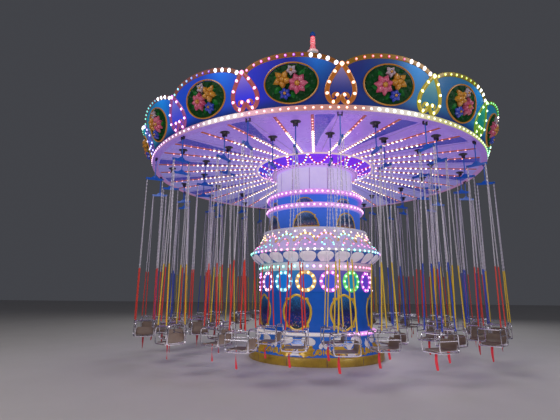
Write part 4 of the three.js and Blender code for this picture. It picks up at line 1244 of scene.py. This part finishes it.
# %% Lamp strips along the scallops
STRIP_MIDDLE, STRIP_R, DEGREES, LARGE_FROM, HALF_PANEL = 0.043, 4.7, 57.3, 0.69, 0.5 * PANEL_STEP
strip_section = [(0.0, -0.02), (0.086, -0.02), (0.086, 0.004), (0.078, 0.011), (0.043, 0.013), (0.008, 0.011),
                 (0.0, 0.004)]
strip_start = [335, 368, 422, 480, 500, 530, 560, 590, 620, 650, 680, 700, 520, 490, 510, 192]
strip_end = [262, 340, 440, 490, 540, 570, 600, 630, 660, 690, 640, 640, 560, 520, 565, 262]
edge_turn = np.clip(np.linspace(-HALF_PANEL, HALF_PANEL, 25), -11.2, 11.2)
spot_turn = np.linspace(-10.2, 10.2, 12)
share = (spot_turn + HALF_PANEL) / PANEL_STEP
large = share > LARGE_FROM
whiteness = np.where(large, 0.9, np.interp(share, [0.05, 0.55], [0.15, 0.0]))
strength = np.where(large, 1.0, np.interp(share, [0.05, 0.65], [0.6, 0.32]))[:, None]
strip_parts = []
for k, middle in enumerate(panel_azimuths):
    azimuth = middle + edge_turn
    edge = place(azimuth, *crown_top(azimuth))
    angle = np.radians(azimuth)
    off = [COS_LEAN * np.sin(angle), -COS_LEAN * np.cos(angle), np.full(len(angle), -SIN_LEAN)]
    off = np.stack(off, axis=-1)
    down = unit(np.cross(unit(np.gradient(edge, axis=0)), off))
    down = np.where(down[:, 2:] > 0, -down, down)
    light = 0.055 * hue(led_hue(middle), 0.1) ** 1.5
    strip_parts.append(swept(edge, down, off, strip_section, glow=light))
    spots = middle + spot_turn
    colours = hue(np.interp(share, [0.05, 0.65], [strip_start[k], strip_end[k]]), whiteness) * strength
    spot_r, spot_z = crown_top(spots)
    grade = np.gradient(spot_z, spots) * DEGREES / STRIP_R
    fall = STRIP_MIDDLE / np.sqrt(1 + grade ** 2)
    u = np.radians(spots) * CROWN_WALL_R + fall * grade
    v = (spot_z - CROWN_FOOT_Z) / COS_LEAN - fall
    off_wall = (spot_r - fall * SIN_LEAN) - (CROWN_FOOT_R + v * SIN_LEAN)
    size = np.where(large, 0.0275, 0.0195)
    add_lamps("crown", crown_wall(0.0), u, v, colours, size, off_wall * COS_LEAN + 0.012)
print("strips:", len(strip_parts))

# %% [markdown]
# ## Hearts and reliefs
#
# A heart-shaped gilt frame stands over each joint, point upwards, with two curls at its foot.
# Each panel holds an oval of leaves with a few large flowers in high relief.
# The flowers are this builder's own arrangement. Every leaf and petal is one boss with a bent middle line,
# which needs far fewer faces than sculpting and keeps the carved look.

# %% Heart frames
heart_half = [(0.0, 0.705), (0.055, 0.645), (0.115, 0.560), (0.185, 0.445), (0.236, 0.330), (0.250, 0.215),
              (0.222, 0.115), (0.170, 0.055), (0.110, 0.038), (0.060, 0.062), (0.034, 0.108), (0.044, 0.158),
              (0.086, 0.186), (0.130, 0.172), (0.142, 0.136), (0.118, 0.116)]
foot_at = [-180, -61, -39, -16, 6, 29, 51, 90, 180]
foot_lights = [(0.0, 0.01, 0.2), (0.03, 0.10, 0.5), (0.04, 0.04, 0.62), (0.01, 0.0, 0.75), (0.0, 0.0, 0.05),
               (0.0, 0.13, 0.12), (0.0, 0.2, 0.04), (0.0, 0.05, 0.15), (0.0, 0.01, 0.2)]
peak_lights = [(0.2, 0.1, 0.4), (0.15, 0.2, 0.5), (0.22, 0.2, 0.55), (0.30, 0.17, 0.48), (0.28, 0.19, 0.27),
               (0.13, 0.38, 0.22), (0.02, 0.42, 0.08), (0.1, 0.1, 0.3), (0.2, 0.1, 0.4)]
heart_lamps = np.array([(0.0, 0.700), (0.117, 0.570), (0.215, 0.390), (0.248, 0.195), (0.135, 0.043),
                        (0.066, 0.170)])
heart_side = curve_through(heart_half, 3, closed=False)
side_share = np.linspace(0.0, 1.0, len(heart_side))
heart_width = np.interp(side_share, [0.0, 0.1, 0.55, 0.75, 1.0], [0.030, 0.042, 0.046, 0.036, 0.016])
heart_inside = mirrored(heart_half[:9])
heart_parts = []
for azimuth in heart_azimuths:
    wall = crown_wall(azimuth)
    field = boss(heart_inside, 0.004, wall, rings=5, power=8, centre=(0.0, 0.30), material=1)
    up = np.clip(field["uv"][:, 1:] / 0.7, 0.0, 1.0)
    foot_light = spread_round(azimuth, foot_at, foot_lights)
    peak_light = spread_round(azimuth, foot_at, peak_lights)
    field["glow"] = (1.0 - up) * foot_light + up ** 2.4 * peak_light
    heart_parts.append(field)
    band_light = 0.20 * hue(led_hue(azimuth), 0.1) ** 1.6
    for side in (-1.0, 1.0):
        heart_parts.append(ribbon(heart_side * [side, 1.0], heart_width, 0.022, wall, glow=band_light))
        spots = heart_lamps if side > 0 else heart_lamps[1:]
        size = np.where(spots[:, 0] == 0.0, 0.030, 0.023)
        add_lamps("crown", wall, side * spots[:, 0], spots[:, 1], hue(led_hue(azimuth), 0.35), size, 0.020)
print("heart parts:", len(heart_parts))

# %% Leaves and flowers
OVAL_WIDE, OVAL_HIGH = 0.50, 0.37
OVAL_UP = (5.30 - CROWN_FOOT_Z) / COS_LEAN


def leaf_outline(foot, length, half_width, degrees, bend=0.0, count=7):
    """A pointed leaf: half width w sin(pi s^0.8) along s from 0 to 1, and the middle line off by bend s^2."""
    s = np.linspace(0.0, 1.0, count)
    reach = half_width * np.sin(math.pi * s ** 0.8)
    middle = bend * s ** 2
    right = np.stack([middle + reach, length * s], axis=-1)
    left = np.stack([middle - reach, length * s], axis=-1)[-2:0:-1]
    return turned_about(np.concatenate([right, left]), np.zeros(2), -degrees) + foot


def raised(wall, base):
    """The same wall, lifted by a fixed height."""
    return lambda u, v, lift: wall(u, v, lift + base)


def blossom(wall, centre, petals, length, half_width, base, height, material, first=0.0, bend=0.02):
    """Petals round a centre, each a boss, and a round button in the middle."""
    turns = first + np.arange(petals) * 360.0 / petals
    parts = [boss(leaf_outline(centre, length, half_width, turn, bend), height, raised(wall, base), rings=2,
                  power=1.8, sink=base, material=material) for turn in turns]
    button, top = oval(centre, 0.26 * length, 0.26 * length, 10), raised(wall, base + 0.55 * height)
    return parts + [boss(button, 0.7 * height, top, rings=2, sink=base, material=3)]


def medallion(azimuth, mirror):
    """An oval rim, two rings of leaves and four flowers, turned over in every other panel."""
    level = crown_wall(azimuth)
    wall = lambda u, v, lift: level(mirror * u, v + OVAL_UP, lift)
    rim = oval((0.0, 0.0), OVAL_WIDE - 0.013, OVAL_HIGH - 0.013, 56)
    parts = [boss(rim, 0.026, wall, rings=5, power=3.0, material=1),
             ribbon(rim, 0.013, 0.030, wall, closed=True, glow=(0.17, 0.055, 0.004))]
    leaf_rings = ((0.66, 15, 0.170, 0.046, 0.008), (0.40, 11, 0.190, 0.052, 0.022))
    for ring, count, length, half_width, base in leaf_rings:
        for turn in np.arange(count) * 360.0 / count + 40.0 * ring:
            q = math.radians(turn)
            foot = np.array([OVAL_WIDE * math.sin(q), OVAL_HIGH * math.cos(q)]) * ring
            facing_to = math.degrees(math.atan2(foot[0], foot[1])) + 14.0
            reach = 0.95 * length * math.hypot(foot[0], foot[1]) / (ring * OVAL_WIDE)
            outline = leaf_outline(foot, reach, half_width, facing_to, 0.02)
            parts.append(boss(outline, 0.026, raised(wall, base), rings=2, power=1.5, sink=base,
                              material=1 + (int(turn * 7) % 2)))
    parts += blossom(wall, (-0.12, -0.02), 7, 0.190, 0.066, 0.044, 0.080, 4, 10.0)
    parts += blossom(wall, (0.15, 0.07), 5, 0.175, 0.060, 0.050, 0.072, 3, 30.0, 0.035)
    parts += blossom(wall, (0.11, -0.18), 6, 0.115, 0.042, 0.052, 0.055, 5, 0.0)
    parts += blossom(wall, (-0.02, 0.22), 5, 0.100, 0.038, 0.050, 0.045, 6, 18.0)
    return parts


# Dark green leaf paint, made darker still as painted shade of the deep oval; it also fills the oval behind
# the leaves.
leaf_green_and_shade = paint("leaf_green_and_shade", (0.001, 0.050, 0.008), (0.001, 0.016, 0.004), 0.6, 0.45, coat=0.02,
                   patch=9.0, shine=0.15)
leaf_light = paint("leaf_light", (0.004, 0.130, 0.014), (0.002, 0.045, 0.008), 0.6, 0.42, coat=0.02,
                   patch=9.0, shine=0.15)
petal_gold = paint("petal_gold", (0.55, 0.25, 0.02), (0.32, 0.08, 0.015), 0.5, 0.3, coat=0.3, patch=9.0)
petal_pink = paint("petal_pink", (0.50, 0.05, 0.14), (0.56, 0.20, 0.26), 0.7, 0.3, coat=0.3, patch=9.0)
petal_blue = paint("petal_blue", (0.03, 0.06, 0.50), (0.02, 0.03, 0.22), 0.5, 0.3, coat=0.3, patch=9.0)
petal_pale = paint("petal_pale", (0.42, 0.38, 0.46), (0.46, 0.18, 0.26), 0.7, 0.3, coat=0.3, patch=9.0)
relief_parts = []
for k, azimuth in enumerate(panel_azimuths):
    relief_parts += medallion(azimuth, 1.0 if k % 2 else -1.0)
relief_finishes = [strip_gold, leaf_green_and_shade, leaf_light, petal_gold, petal_pink, petal_blue, petal_pale]
print("relief parts:", len(relief_parts))

# %% Crown pieces
rim_azimuth, rim_height = azimuth_of(crown_shell["points"]), crown_shell["points"][:, 2]
rim_reach = reach_of(crown_shell["points"])
on_rim = (rim_height > RIM_FOOT_Z + EDGE) & (rim_height < CROWN_FOOT_Z - EDGE) & (rim_reach > RIM_R - EDGE)
below_rim = (rim_height < RIM_FOOT_Z + EDGE)[:, None]
rim_at = [-180, -60, -31, -28, -19, -16, 0, 12, 15, 25, 28, 50, 65, 180]
rim_lights = [(0.06, 0.03, 0.09), (0.16, 0.07, 0.24), (0.16, 0.09, 0.24), (0.40, 0.40, 0.46),
              (0.40, 0.40, 0.46), (0.30, 0.08, 0.20), (0.18, 0.04, 0.03), (0.18, 0.07, 0.06),
              (0.36, 0.38, 0.36), (0.34, 0.42, 0.34), (0.24, 0.30, 0.08), (0.20, 0.32, 0.08),
              (0.06, 0.30, 0.10), (0.06, 0.03, 0.09)]
under_at = [-180, -95, -60, 60, 95, 180]
under_lights = [(0.24, 0.08, 0.13), (0.22, 0.08, 0.15), (0.09, 0.035, 0.22), (0.09, 0.035, 0.22),
                (0.22, 0.08, 0.15), (0.24, 0.08, 0.13)]
rim_glow = np.where(on_rim[:, None], spread_round(rim_azimuth, rim_at, rim_lights), crown_shell["glow"])
crown_shell["glow"] = np.where(below_rim, spread_round(rim_azimuth, under_at, under_lights), rim_glow)
rim_plates = copies(cheek_pair(0.08, 0.05), place(heart_azimuths, OUTER_R, 4.8115),
                    hung_frames(heart_azimuths))
piece("crown_shell", [crown_shell, rim_plates], [crown_blue, rim_cream, back_grey, bracket_black, deck_lilac],
      "canopy", ["crown_panels"])
piece("crown_strips", strip_parts, [strip_gold], "canopy")
piece("heart_frames", heart_parts, [strip_gold, crown_blue], "canopy")
piece("crown_reliefs", relief_parts, relief_finishes, "canopy")


def rim_colour(azimuth):
    """Violet at the left, white, pink to red in front, white again on the right, then yellow and green."""
    turn = [-180, -60, -30, -28, -19, -16, 4, 12, 15, 25, 28, 50, 65, 180]
    angle = np.interp(azimuth, turn, [330, 285, 280, 280, 320, 345, 370, 375, 395, 415, 420, 430, 480, 690])
    white = [0.3, 0.5, 0.5, 0.95, 0.95, 0.35, 0.3, 0.35, 0.95, 0.95, 0.4, 0.35, 0.2, 0.3]
    return hue(angle, np.interp(azimuth, turn, white))


rim_spots = np.arange(-93, 93) * 360.0 / 186
wide_lamps = ((rim_spots > -29.0) & (rim_spots < -19.0)) | ((rim_spots > 14.0) & (rim_spots < 26.0))
add_lamps("canopy", drum_wall(0.0, RIM_R), np.radians(rim_spots) * RIM_R, 4.868, rim_colour(rim_spots),
          np.where(wide_lamps, 0.025, 0.0175))

# %% [markdown]
# ## Roof and finial
#
# The photograph hides the roof, so it is a plain pale cone with a bell-shaped neck.
# Its finial has a flared foot with red and white rays and a column with red and white rings.
# Roof and finial are one turned skin, and the rings are separate small ones that sit on the column.

# %% Roof and finial
def on_deck(radius):
    """Height half a millimetre over the deck's upper side at a radius."""
    return cone_height(radius, *DECK) + (DECK_THICK + 0.0005)


roof_profile = [(0.0, 8.70), (0.94, 7.41), (4.0, 5.2), (4.0, on_deck(4.0)), (4.3, on_deck(4.3)), (4.3, 5.2),
                (3.4, 5.68), (2.6, 6.25), (1.7, 6.86), (1.0, 7.5), (0.62, 7.95), (0.35, 8.4), (0.22, 8.64),
                (0.16, 8.79), (0.155, 8.84), (0.17, 8.90), (0.135, 8.93), (0.095, 9.0), (0.074, 9.1),
                (0.07, 9.15), (0.062, 9.40), (0.05, 9.42), (0.0, 9.425)]
FOOT_FIRST, RAY_FIRST, RAY_LAST, RAY_WIDTH = 13, 14, 17, 4
roof_sides = 96
roof = capped(roof_profile, roof_sides)
segment = np.repeat(np.arange(len(roof_profile) - 3), roof_sides)
column = np.tile(np.arange(roof_sides), len(roof_profile) - 3)
rayed = (segment >= RAY_FIRST) & (segment <= RAY_LAST) & ((column // RAY_WIDTH) % 2 == 0)
roof_finish = np.where(rayed | (segment > RAY_LAST), 2, np.where(segment >= FOOT_FIRST, 1, 0))
pole_finish = np.repeat([0, 1], roof_sides)
roof["material"] = np.concatenate([roof_finish, pole_finish]).astype(np.int32)
# Painted light on the finial: its foot and column glow by height.
lit_by_height(roof, [8.6, 8.85, 9.0, 9.43], [(0.0, 0.0, 0.0), (0.26, 0.12, 0.12), (0.50, 0.01, 0.04),
                                             (0.55, 0.01, 0.04)])
seam_r, seam_z = np.array([4.24, 3.4, 2.6, 1.7, 1.02]), np.array([5.233, 5.68, 6.25, 6.86, 7.482])
seam_section = [(-0.011, -0.012), (0.011, -0.012), (0.008, 0.012), (-0.008, 0.012)]
seam_azimuths = 0.5 * PANEL_STEP * np.arange(32)
seam_parts = []
for azimuth, frames in zip(seam_azimuths, hung_frames(seam_azimuths)):
    ridge = place(np.full(5, azimuth), seam_r, seam_z)
    side_way = np.tile(frames[0], (5, 1))
    up_way = unit(np.cross(np.gradient(ridge, axis=0), side_way))
    up_way = np.where(up_way[:, 2:] < 0, -up_way, up_way)
    seam_parts.append(swept(ridge, side_way, up_way, seam_section))
# The finial's rings carry painted light too: red on the red rings and pink on the white ones.
finial_rings = []
for k in range(8):
    height = 9.16 + 0.031 * k
    width = np.interp(height, [9.15, 9.40], [0.07, 0.062])
    finial_rings.append(turned([(width - 0.01, height), (width + 0.007, height + 0.002),
                                (width + 0.010, height + 0.011), (width + 0.007, height + 0.020),
                                (width - 0.01, height + 0.022)], 32, 2 if k % 2 else 1,
                               (0.75, 0.01, 0.05) if k % 2 else (0.45, 0.22, 0.25)))
ball_angle = np.linspace(-math.pi / 2, math.pi / 2, 13)[1:-1]
ball_profile = [(0.0, 9.402)] + [(0.085 * math.cos(q), 9.487 + 0.085 * math.sin(q)) for q in ball_angle[:-1]]
ball_profile += [(0.03, 9.575), (0.012, 9.60), (0.0, 9.6198)]
ball = capped(ball_profile, 32, 3)
piece("roof_and_finial", [roof] + seam_parts + finial_rings + [ball],
      [roof_white, finial_white, finial_red, hanger_blue], "canopy", ["canopy_roof"])

# %% Lamp pieces
for name, body, group in (("tower_lamps", "tower", "tower"), ("head_lamps", "lifting_head", "lifting_head"),
                          ("canopy_lamps", "canopy", "canopy"), ("crown_lamps", "canopy", "crown")):
    piece(name, lamps[group], [lamp_cap], body)
    print(name, sum(len(shape["points"]) for shape in lamps[group]) // len(dome["points"]), "lamps")

# %% [markdown]
# ## Chairs
#
# Each of the 48 chairs hangs from a rod and a spreader bar on four chains, whose lower third wears a
# coloured plastic sleeve. The seat is a brown moulded shell in a frame of bent chrome tube, with a red strap.
# All chairs are one shape in the chair's own axes, x towards the tower and y the way that it faces,
# and a frame of three directions puts it under its pin. Real links are modelled, because a plain
# rod would look stiff. Three short sides to each wire keep their number in hand.

# %% Chair frame in its own axes
SPREADER_Z, SLEEVE_TOP, SEAT_RAIL, ARM_RAIL, HOOP_TOP = 4.28, 2.12, 0.655, 0.960, 1.015
ARM_X, BACK_Y, FRONT_Y = 0.2, -0.197, 0.222
CHAIN_TOP, CHAIN_FOOT = (0.18, 0.011), (0.2, 0.15)
SLEEVE_SHARE = (SPREADER_Z - SLEEVE_TOP) / (SPREADER_Z - ARM_RAIL)
BAR_SIDE = np.array([(-0.205, -0.024), (0.205, -0.024), (0.205, 0.024), (-0.205, 0.024)])
GUSSET_SIDE = np.array([(-0.110, 0.012), (-0.028, 0.080), (0.028, 0.080), (0.110, 0.012)])
HANGER_GLOW = (0.0, 0.014, 0.085)
LINK_WIRE = [(0.0, 0.027), (0.0082, 0.017), (0.0082, -0.017), (0.0, -0.027), (-0.0082, -0.017),
             (-0.0082, 0.017)]
SIDES = (-1.0, 1.0)


def bent(corners, radius, fixed, axis, thick=0.0098, closed=True, sides=6):
    """A bent tube in one plane, with each corner rounded."""
    normal = np.eye(3)[axis]
    return tube(in_plane(rounded(corners, radius, 3, closed), fixed, axis), normal, thick, sides, closed)


def plain_bar(start, end, thick, sides=6, material=0, glow=DARK):
    """A straight round bar between two points."""
    path = np.array([start, end], float)
    way = path[1] - path[0]
    beside = [0.0, 1.0, 0.0] if abs(way[0]) > 0.1 else [1.0, 0.0, 0.0]
    return tube(path, unit(np.cross(way, beside)), thick, sides, material=material, glow=glow)


def chain_line(side_x, side_y):
    """The two ends of one chain, in the chair's axes."""
    top = np.array([side_x * CHAIN_TOP[0], side_y * CHAIN_TOP[1], SPREADER_Z])
    foot = np.array([side_x * CHAIN_FOOT[0], side_y * CHAIN_FOOT[1], ARM_RAIL])
    return top, foot


def link_run(top, foot, pitch=0.043):
    """Links along a chain from the bar to the sleeve, each turned a quarter from the one before."""
    stop = top + (foot - top) * SLEEVE_SHARE
    down = unit(stop - top)
    number = int(np.linalg.norm(stop - top) / pitch)
    link_shape = tube(in_plane(LINK_WIRE, 0.0, 0), (1.0, 0.0, 0.0), 0.0042, 3, True, 3)
    centres = top + down * (pitch * (np.arange(number) + 0.6))[:, None]
    first = unit(np.cross(down, [0.0, 1.0, 0.0]))
    odd = (np.arange(number) % 2 == 1)[:, None]
    e1 = np.where(odd, np.cross(down, first), first)
    e3 = np.broadcast_to(down, e1.shape)
    return copies(link_shape, centres, np.stack([e1, np.cross(e3, e1), e3], axis=1))


def chair_frame(pivot):
    """Rod, pin, spreader bar, chains and the chrome frame of one chair, with its pin at a height."""
    side_loop = [(BACK_Y, SEAT_RAIL), (FRONT_Y, SEAT_RAIL), (FRONT_Y, ARM_RAIL), (BACK_Y, ARM_RAIL)]
    back_hoop = [(-ARM_X, SEAT_RAIL), (ARM_X, SEAT_RAIL), (0.172, HOOP_TOP), (-0.172, HOOP_TOP)]
    lap_bar = [(-ARM_X, 0.10), (-ARM_X, 0.226), (ARM_X, 0.226), (ARM_X, 0.10)]
    parts = [bent(side_loop, 0.06, side * ARM_X, 0) for side in SIDES]
    parts.append(bent(back_hoop, 0.06, BACK_Y, 1))
    parts.append(bent(lap_bar, 0.05, ARM_RAIL, 2, 0.012, closed=False))
    parts.append(plain_bar((-ARM_X, 0.205, SEAT_RAIL), (ARM_X, 0.205, SEAT_RAIL), 0.010))
    parts.append(plain_bar((-ARM_X, 0.0, SEAT_RAIL), (ARM_X, 0.0, SEAT_RAIL), 0.009))
    parts += [plain_bar((x, BACK_Y, 0.845), (x, FRONT_Y, 0.845), 0.008) for x in (-ARM_X, ARM_X)]
    parts.append(flat_plate(BAR_SIDE + [0.0, SPREADER_Z], 0.034, 1, material=1, glow=HANGER_GLOW))
    parts.append(flat_plate(GUSSET_SIDE + [0.0, SPREADER_Z], 0.010, 1, material=1, glow=HANGER_GLOW))
    parts.append(plain_bar((0.0, 0.0, SPREADER_Z), (0.0, 0.0, pivot), 0.0115, 8, 1, HANGER_GLOW))
    parts.append(plain_bar((0.0, -0.029, pivot), (0.0, 0.029, pivot), 0.0125, 10, 2))
    for top, foot in CHAINS:
        parts.append(link_run(top, foot))
        parts.append(plain_bar(top + [0, 0, 0.004], top - [0, 0, 0.030], 0.011, material=2))
        parts.append(plain_bar(foot + [0, 0, 0.022], foot - [0, 0, 0.014], 0.0155))
    return gathered(parts)


def chair_sleeve(top, foot):
    """The plastic sleeve over the lower part of one chain."""
    path = top + (foot - top) * np.array([SLEEVE_SHARE - 0.008, 0.75, 0.87, 0.988])[:, None]
    return tube(path, unit(np.cross(foot - top, [0.0, 1.0, 0.0])), 0.0120, 7)


def seat_shell():
    """A shell bent from the back into the pan: point = line(s) + u x + t n, dished by 0.018 |u / w|^4."""
    corners = [(BACK_Y, 0.858), (-0.180, 0.676), (0.186, 0.676), (0.206, 0.662)]
    line = rounded(corners, np.array([[0.0], [0.06], [0.010], [0.0]]), 4, closed=False)
    line = even_points(line, 17, closed=False)
    along = unit(np.gradient(line, axis=0))
    square = np.stack([-along[:, 1], along[:, 0]], axis=-1)
    s = np.linspace(-1.0, 1.0, len(line))
    width = 0.184 - 0.045 * s ** 12
    across = np.array([-1.0, -0.86, -0.55, 0.0, 0.55, 0.86, 1.0])
    dish = 0.018 * across ** 4
    side = np.concatenate([across, across[::-1]])
    lift = np.concatenate([dish + 0.006, dish[::-1]])
    flat = line[:, None, :] + lift[None, :, None] * square[:, None, :]
    points = np.concatenate([(width[:, None] * side)[..., None], flat], axis=-1)
    return part(points, bar_net(len(line), len(side)))


def strap():
    """A strap that turns on its way down: its width lies along (cos q, sin q), q from 10 to 80 degrees."""
    s = np.linspace(0.0, 1.0, 8)
    path = np.stack([0.006 * np.sin(3.0 * s), 0.108 + 0.010 * np.sin(4.0 * s), 0.664 - 0.302 * s], axis=-1)
    turn = np.radians(10.0 + 70.0 * s)
    across = np.stack([np.cos(turn), np.sin(turn), 0.0 * s], axis=-1)
    up = np.stack([-np.sin(turn), np.cos(turn), 0.0 * s], axis=-1)
    section = [(-0.023, -0.0018), (0.023, -0.0018), (0.023, 0.0018), (-0.023, 0.0018)]
    return swept(path, across, up, section, material=1)


CHAINS = [chain_line(side_x, side_y) for side_x in SIDES for side_y in SIDES]
seat_shape = gathered([seat_shell(), strap()])
sleeve_shape = gathered([chair_sleeve(top, foot) for top, foot in CHAINS])
print("seat faces:", len(seat_shape["faces"]), "sleeve faces:", len(sleeve_shape["faces"]))

# %% Forty-eight chairs
sleeve_red = paint("sleeve_red", (0.62, 0.035, 0.02), (0.40, 0.02, 0.02), 0.35, 0.3, coat=0.4, patch=5.0)
sleeve_yellow = paint("sleeve_yellow", (0.66, 0.44, 0.025), (0.46, 0.26, 0.02), 0.35, 0.3, coat=0.4,
                      patch=5.0)
sleeve_blue = paint("sleeve_blue", (0.02, 0.055, 0.40), (0.015, 0.03, 0.22), 0.35, 0.3, coat=0.4, patch=5.0)
sleeve_paints = {"r": sleeve_red, "y": sleeve_yellow, "b": sleeve_blue}
# One letter for each of the 32 azimuths where chairs hang, starting with the middle row's first.
SLEEVE_ORDER = "ryybyr" + "bybryrbyrybrbyyrbybr" + "brryrr"
PIN_DROP = 0.085
rows = {
    "outer": (heart_azimuths, OUTER_R, 4.757),
    "middle": (panel_azimuths, MIDDLE_R, cone_height(MIDDLE_R, *DECK) - PIN_DROP),
    "inner": (heart_azimuths, INNER_R, cone_height(INNER_R, *DECK) - PIN_DROP),
}
for row, (azimuths, radius, pivot) in rows.items():
    frame_shape = chair_frame(pivot)
    step = 0 if row == "middle" else 1
    for k, azimuth in enumerate(azimuths):
        label = f"{row}_{k + 1:02d}"
        node = f"chair_{label}"
        q = math.radians(azimuth)
        inwards, forwards = (-math.sin(q), math.cos(q), 0.0), (-math.cos(q), -math.sin(q), 0.0)
        frames = np.array([[inwards, forwards, (0.0, 0.0, 1.0)]])
        origin = place(azimuths[k:k + 1], radius, 0.0)
        sleeve_paint = sleeve_paints[SLEEVE_ORDER[2 * k + step]]
        piece(f"frame_{label}", [copies(frame_shape, origin, frames)],
              [chrome, hanger_blue, bracket_black, chain_steel], node, [node])
        piece(f"sleeves_{label}", [copies(sleeve_shape, origin, frames)], [sleeve_paint],
              node)
        piece(f"seat_{label}", [copies(seat_shape, origin, frames)], [shell_brown, strap_red],
              node)
print("frame faces:", len(frame_shape["faces"]), "triangles so far:", sum(faces for _, faces in made))

# %% [markdown]
# ## Floor and finish
#
# The floor is one thin pale slab that isn't part of the ride.

# %% Floor
HALF_FLOOR = 60.0
floor_paint = paint("floor_pale", (0.60, 0.57, 0.55), (0.52, 0.49, 0.47), 0.4, 0.6, coat=0.0, patch=0.5,
                    bump=0.0)
floor_corners = [(HALF_FLOOR * x, HALF_FLOOR * y, z) for z in (-0.05, -0.001)
                 for x, y in ((-1, -1), (1, -1), (1, 1), (-1, 1))]
floor_faces = [(0, 3, 2, 1), (4, 5, 6, 7), (0, 1, 5, 4), (1, 2, 6, 5), (2, 3, 7, 6), (3, 0, 4, 7)]
floor_mesh = bpy.data.meshes.new("floor")
floor_mesh.from_pydata(floor_corners, [], floor_faces)
floor_mesh.materials.append(floor_paint)
floor = bpy.data.objects.new("floor", floor_mesh)
bpy.context.scene.collection.objects.link(floor)
print("floor corners:", len(floor_mesh.vertices))
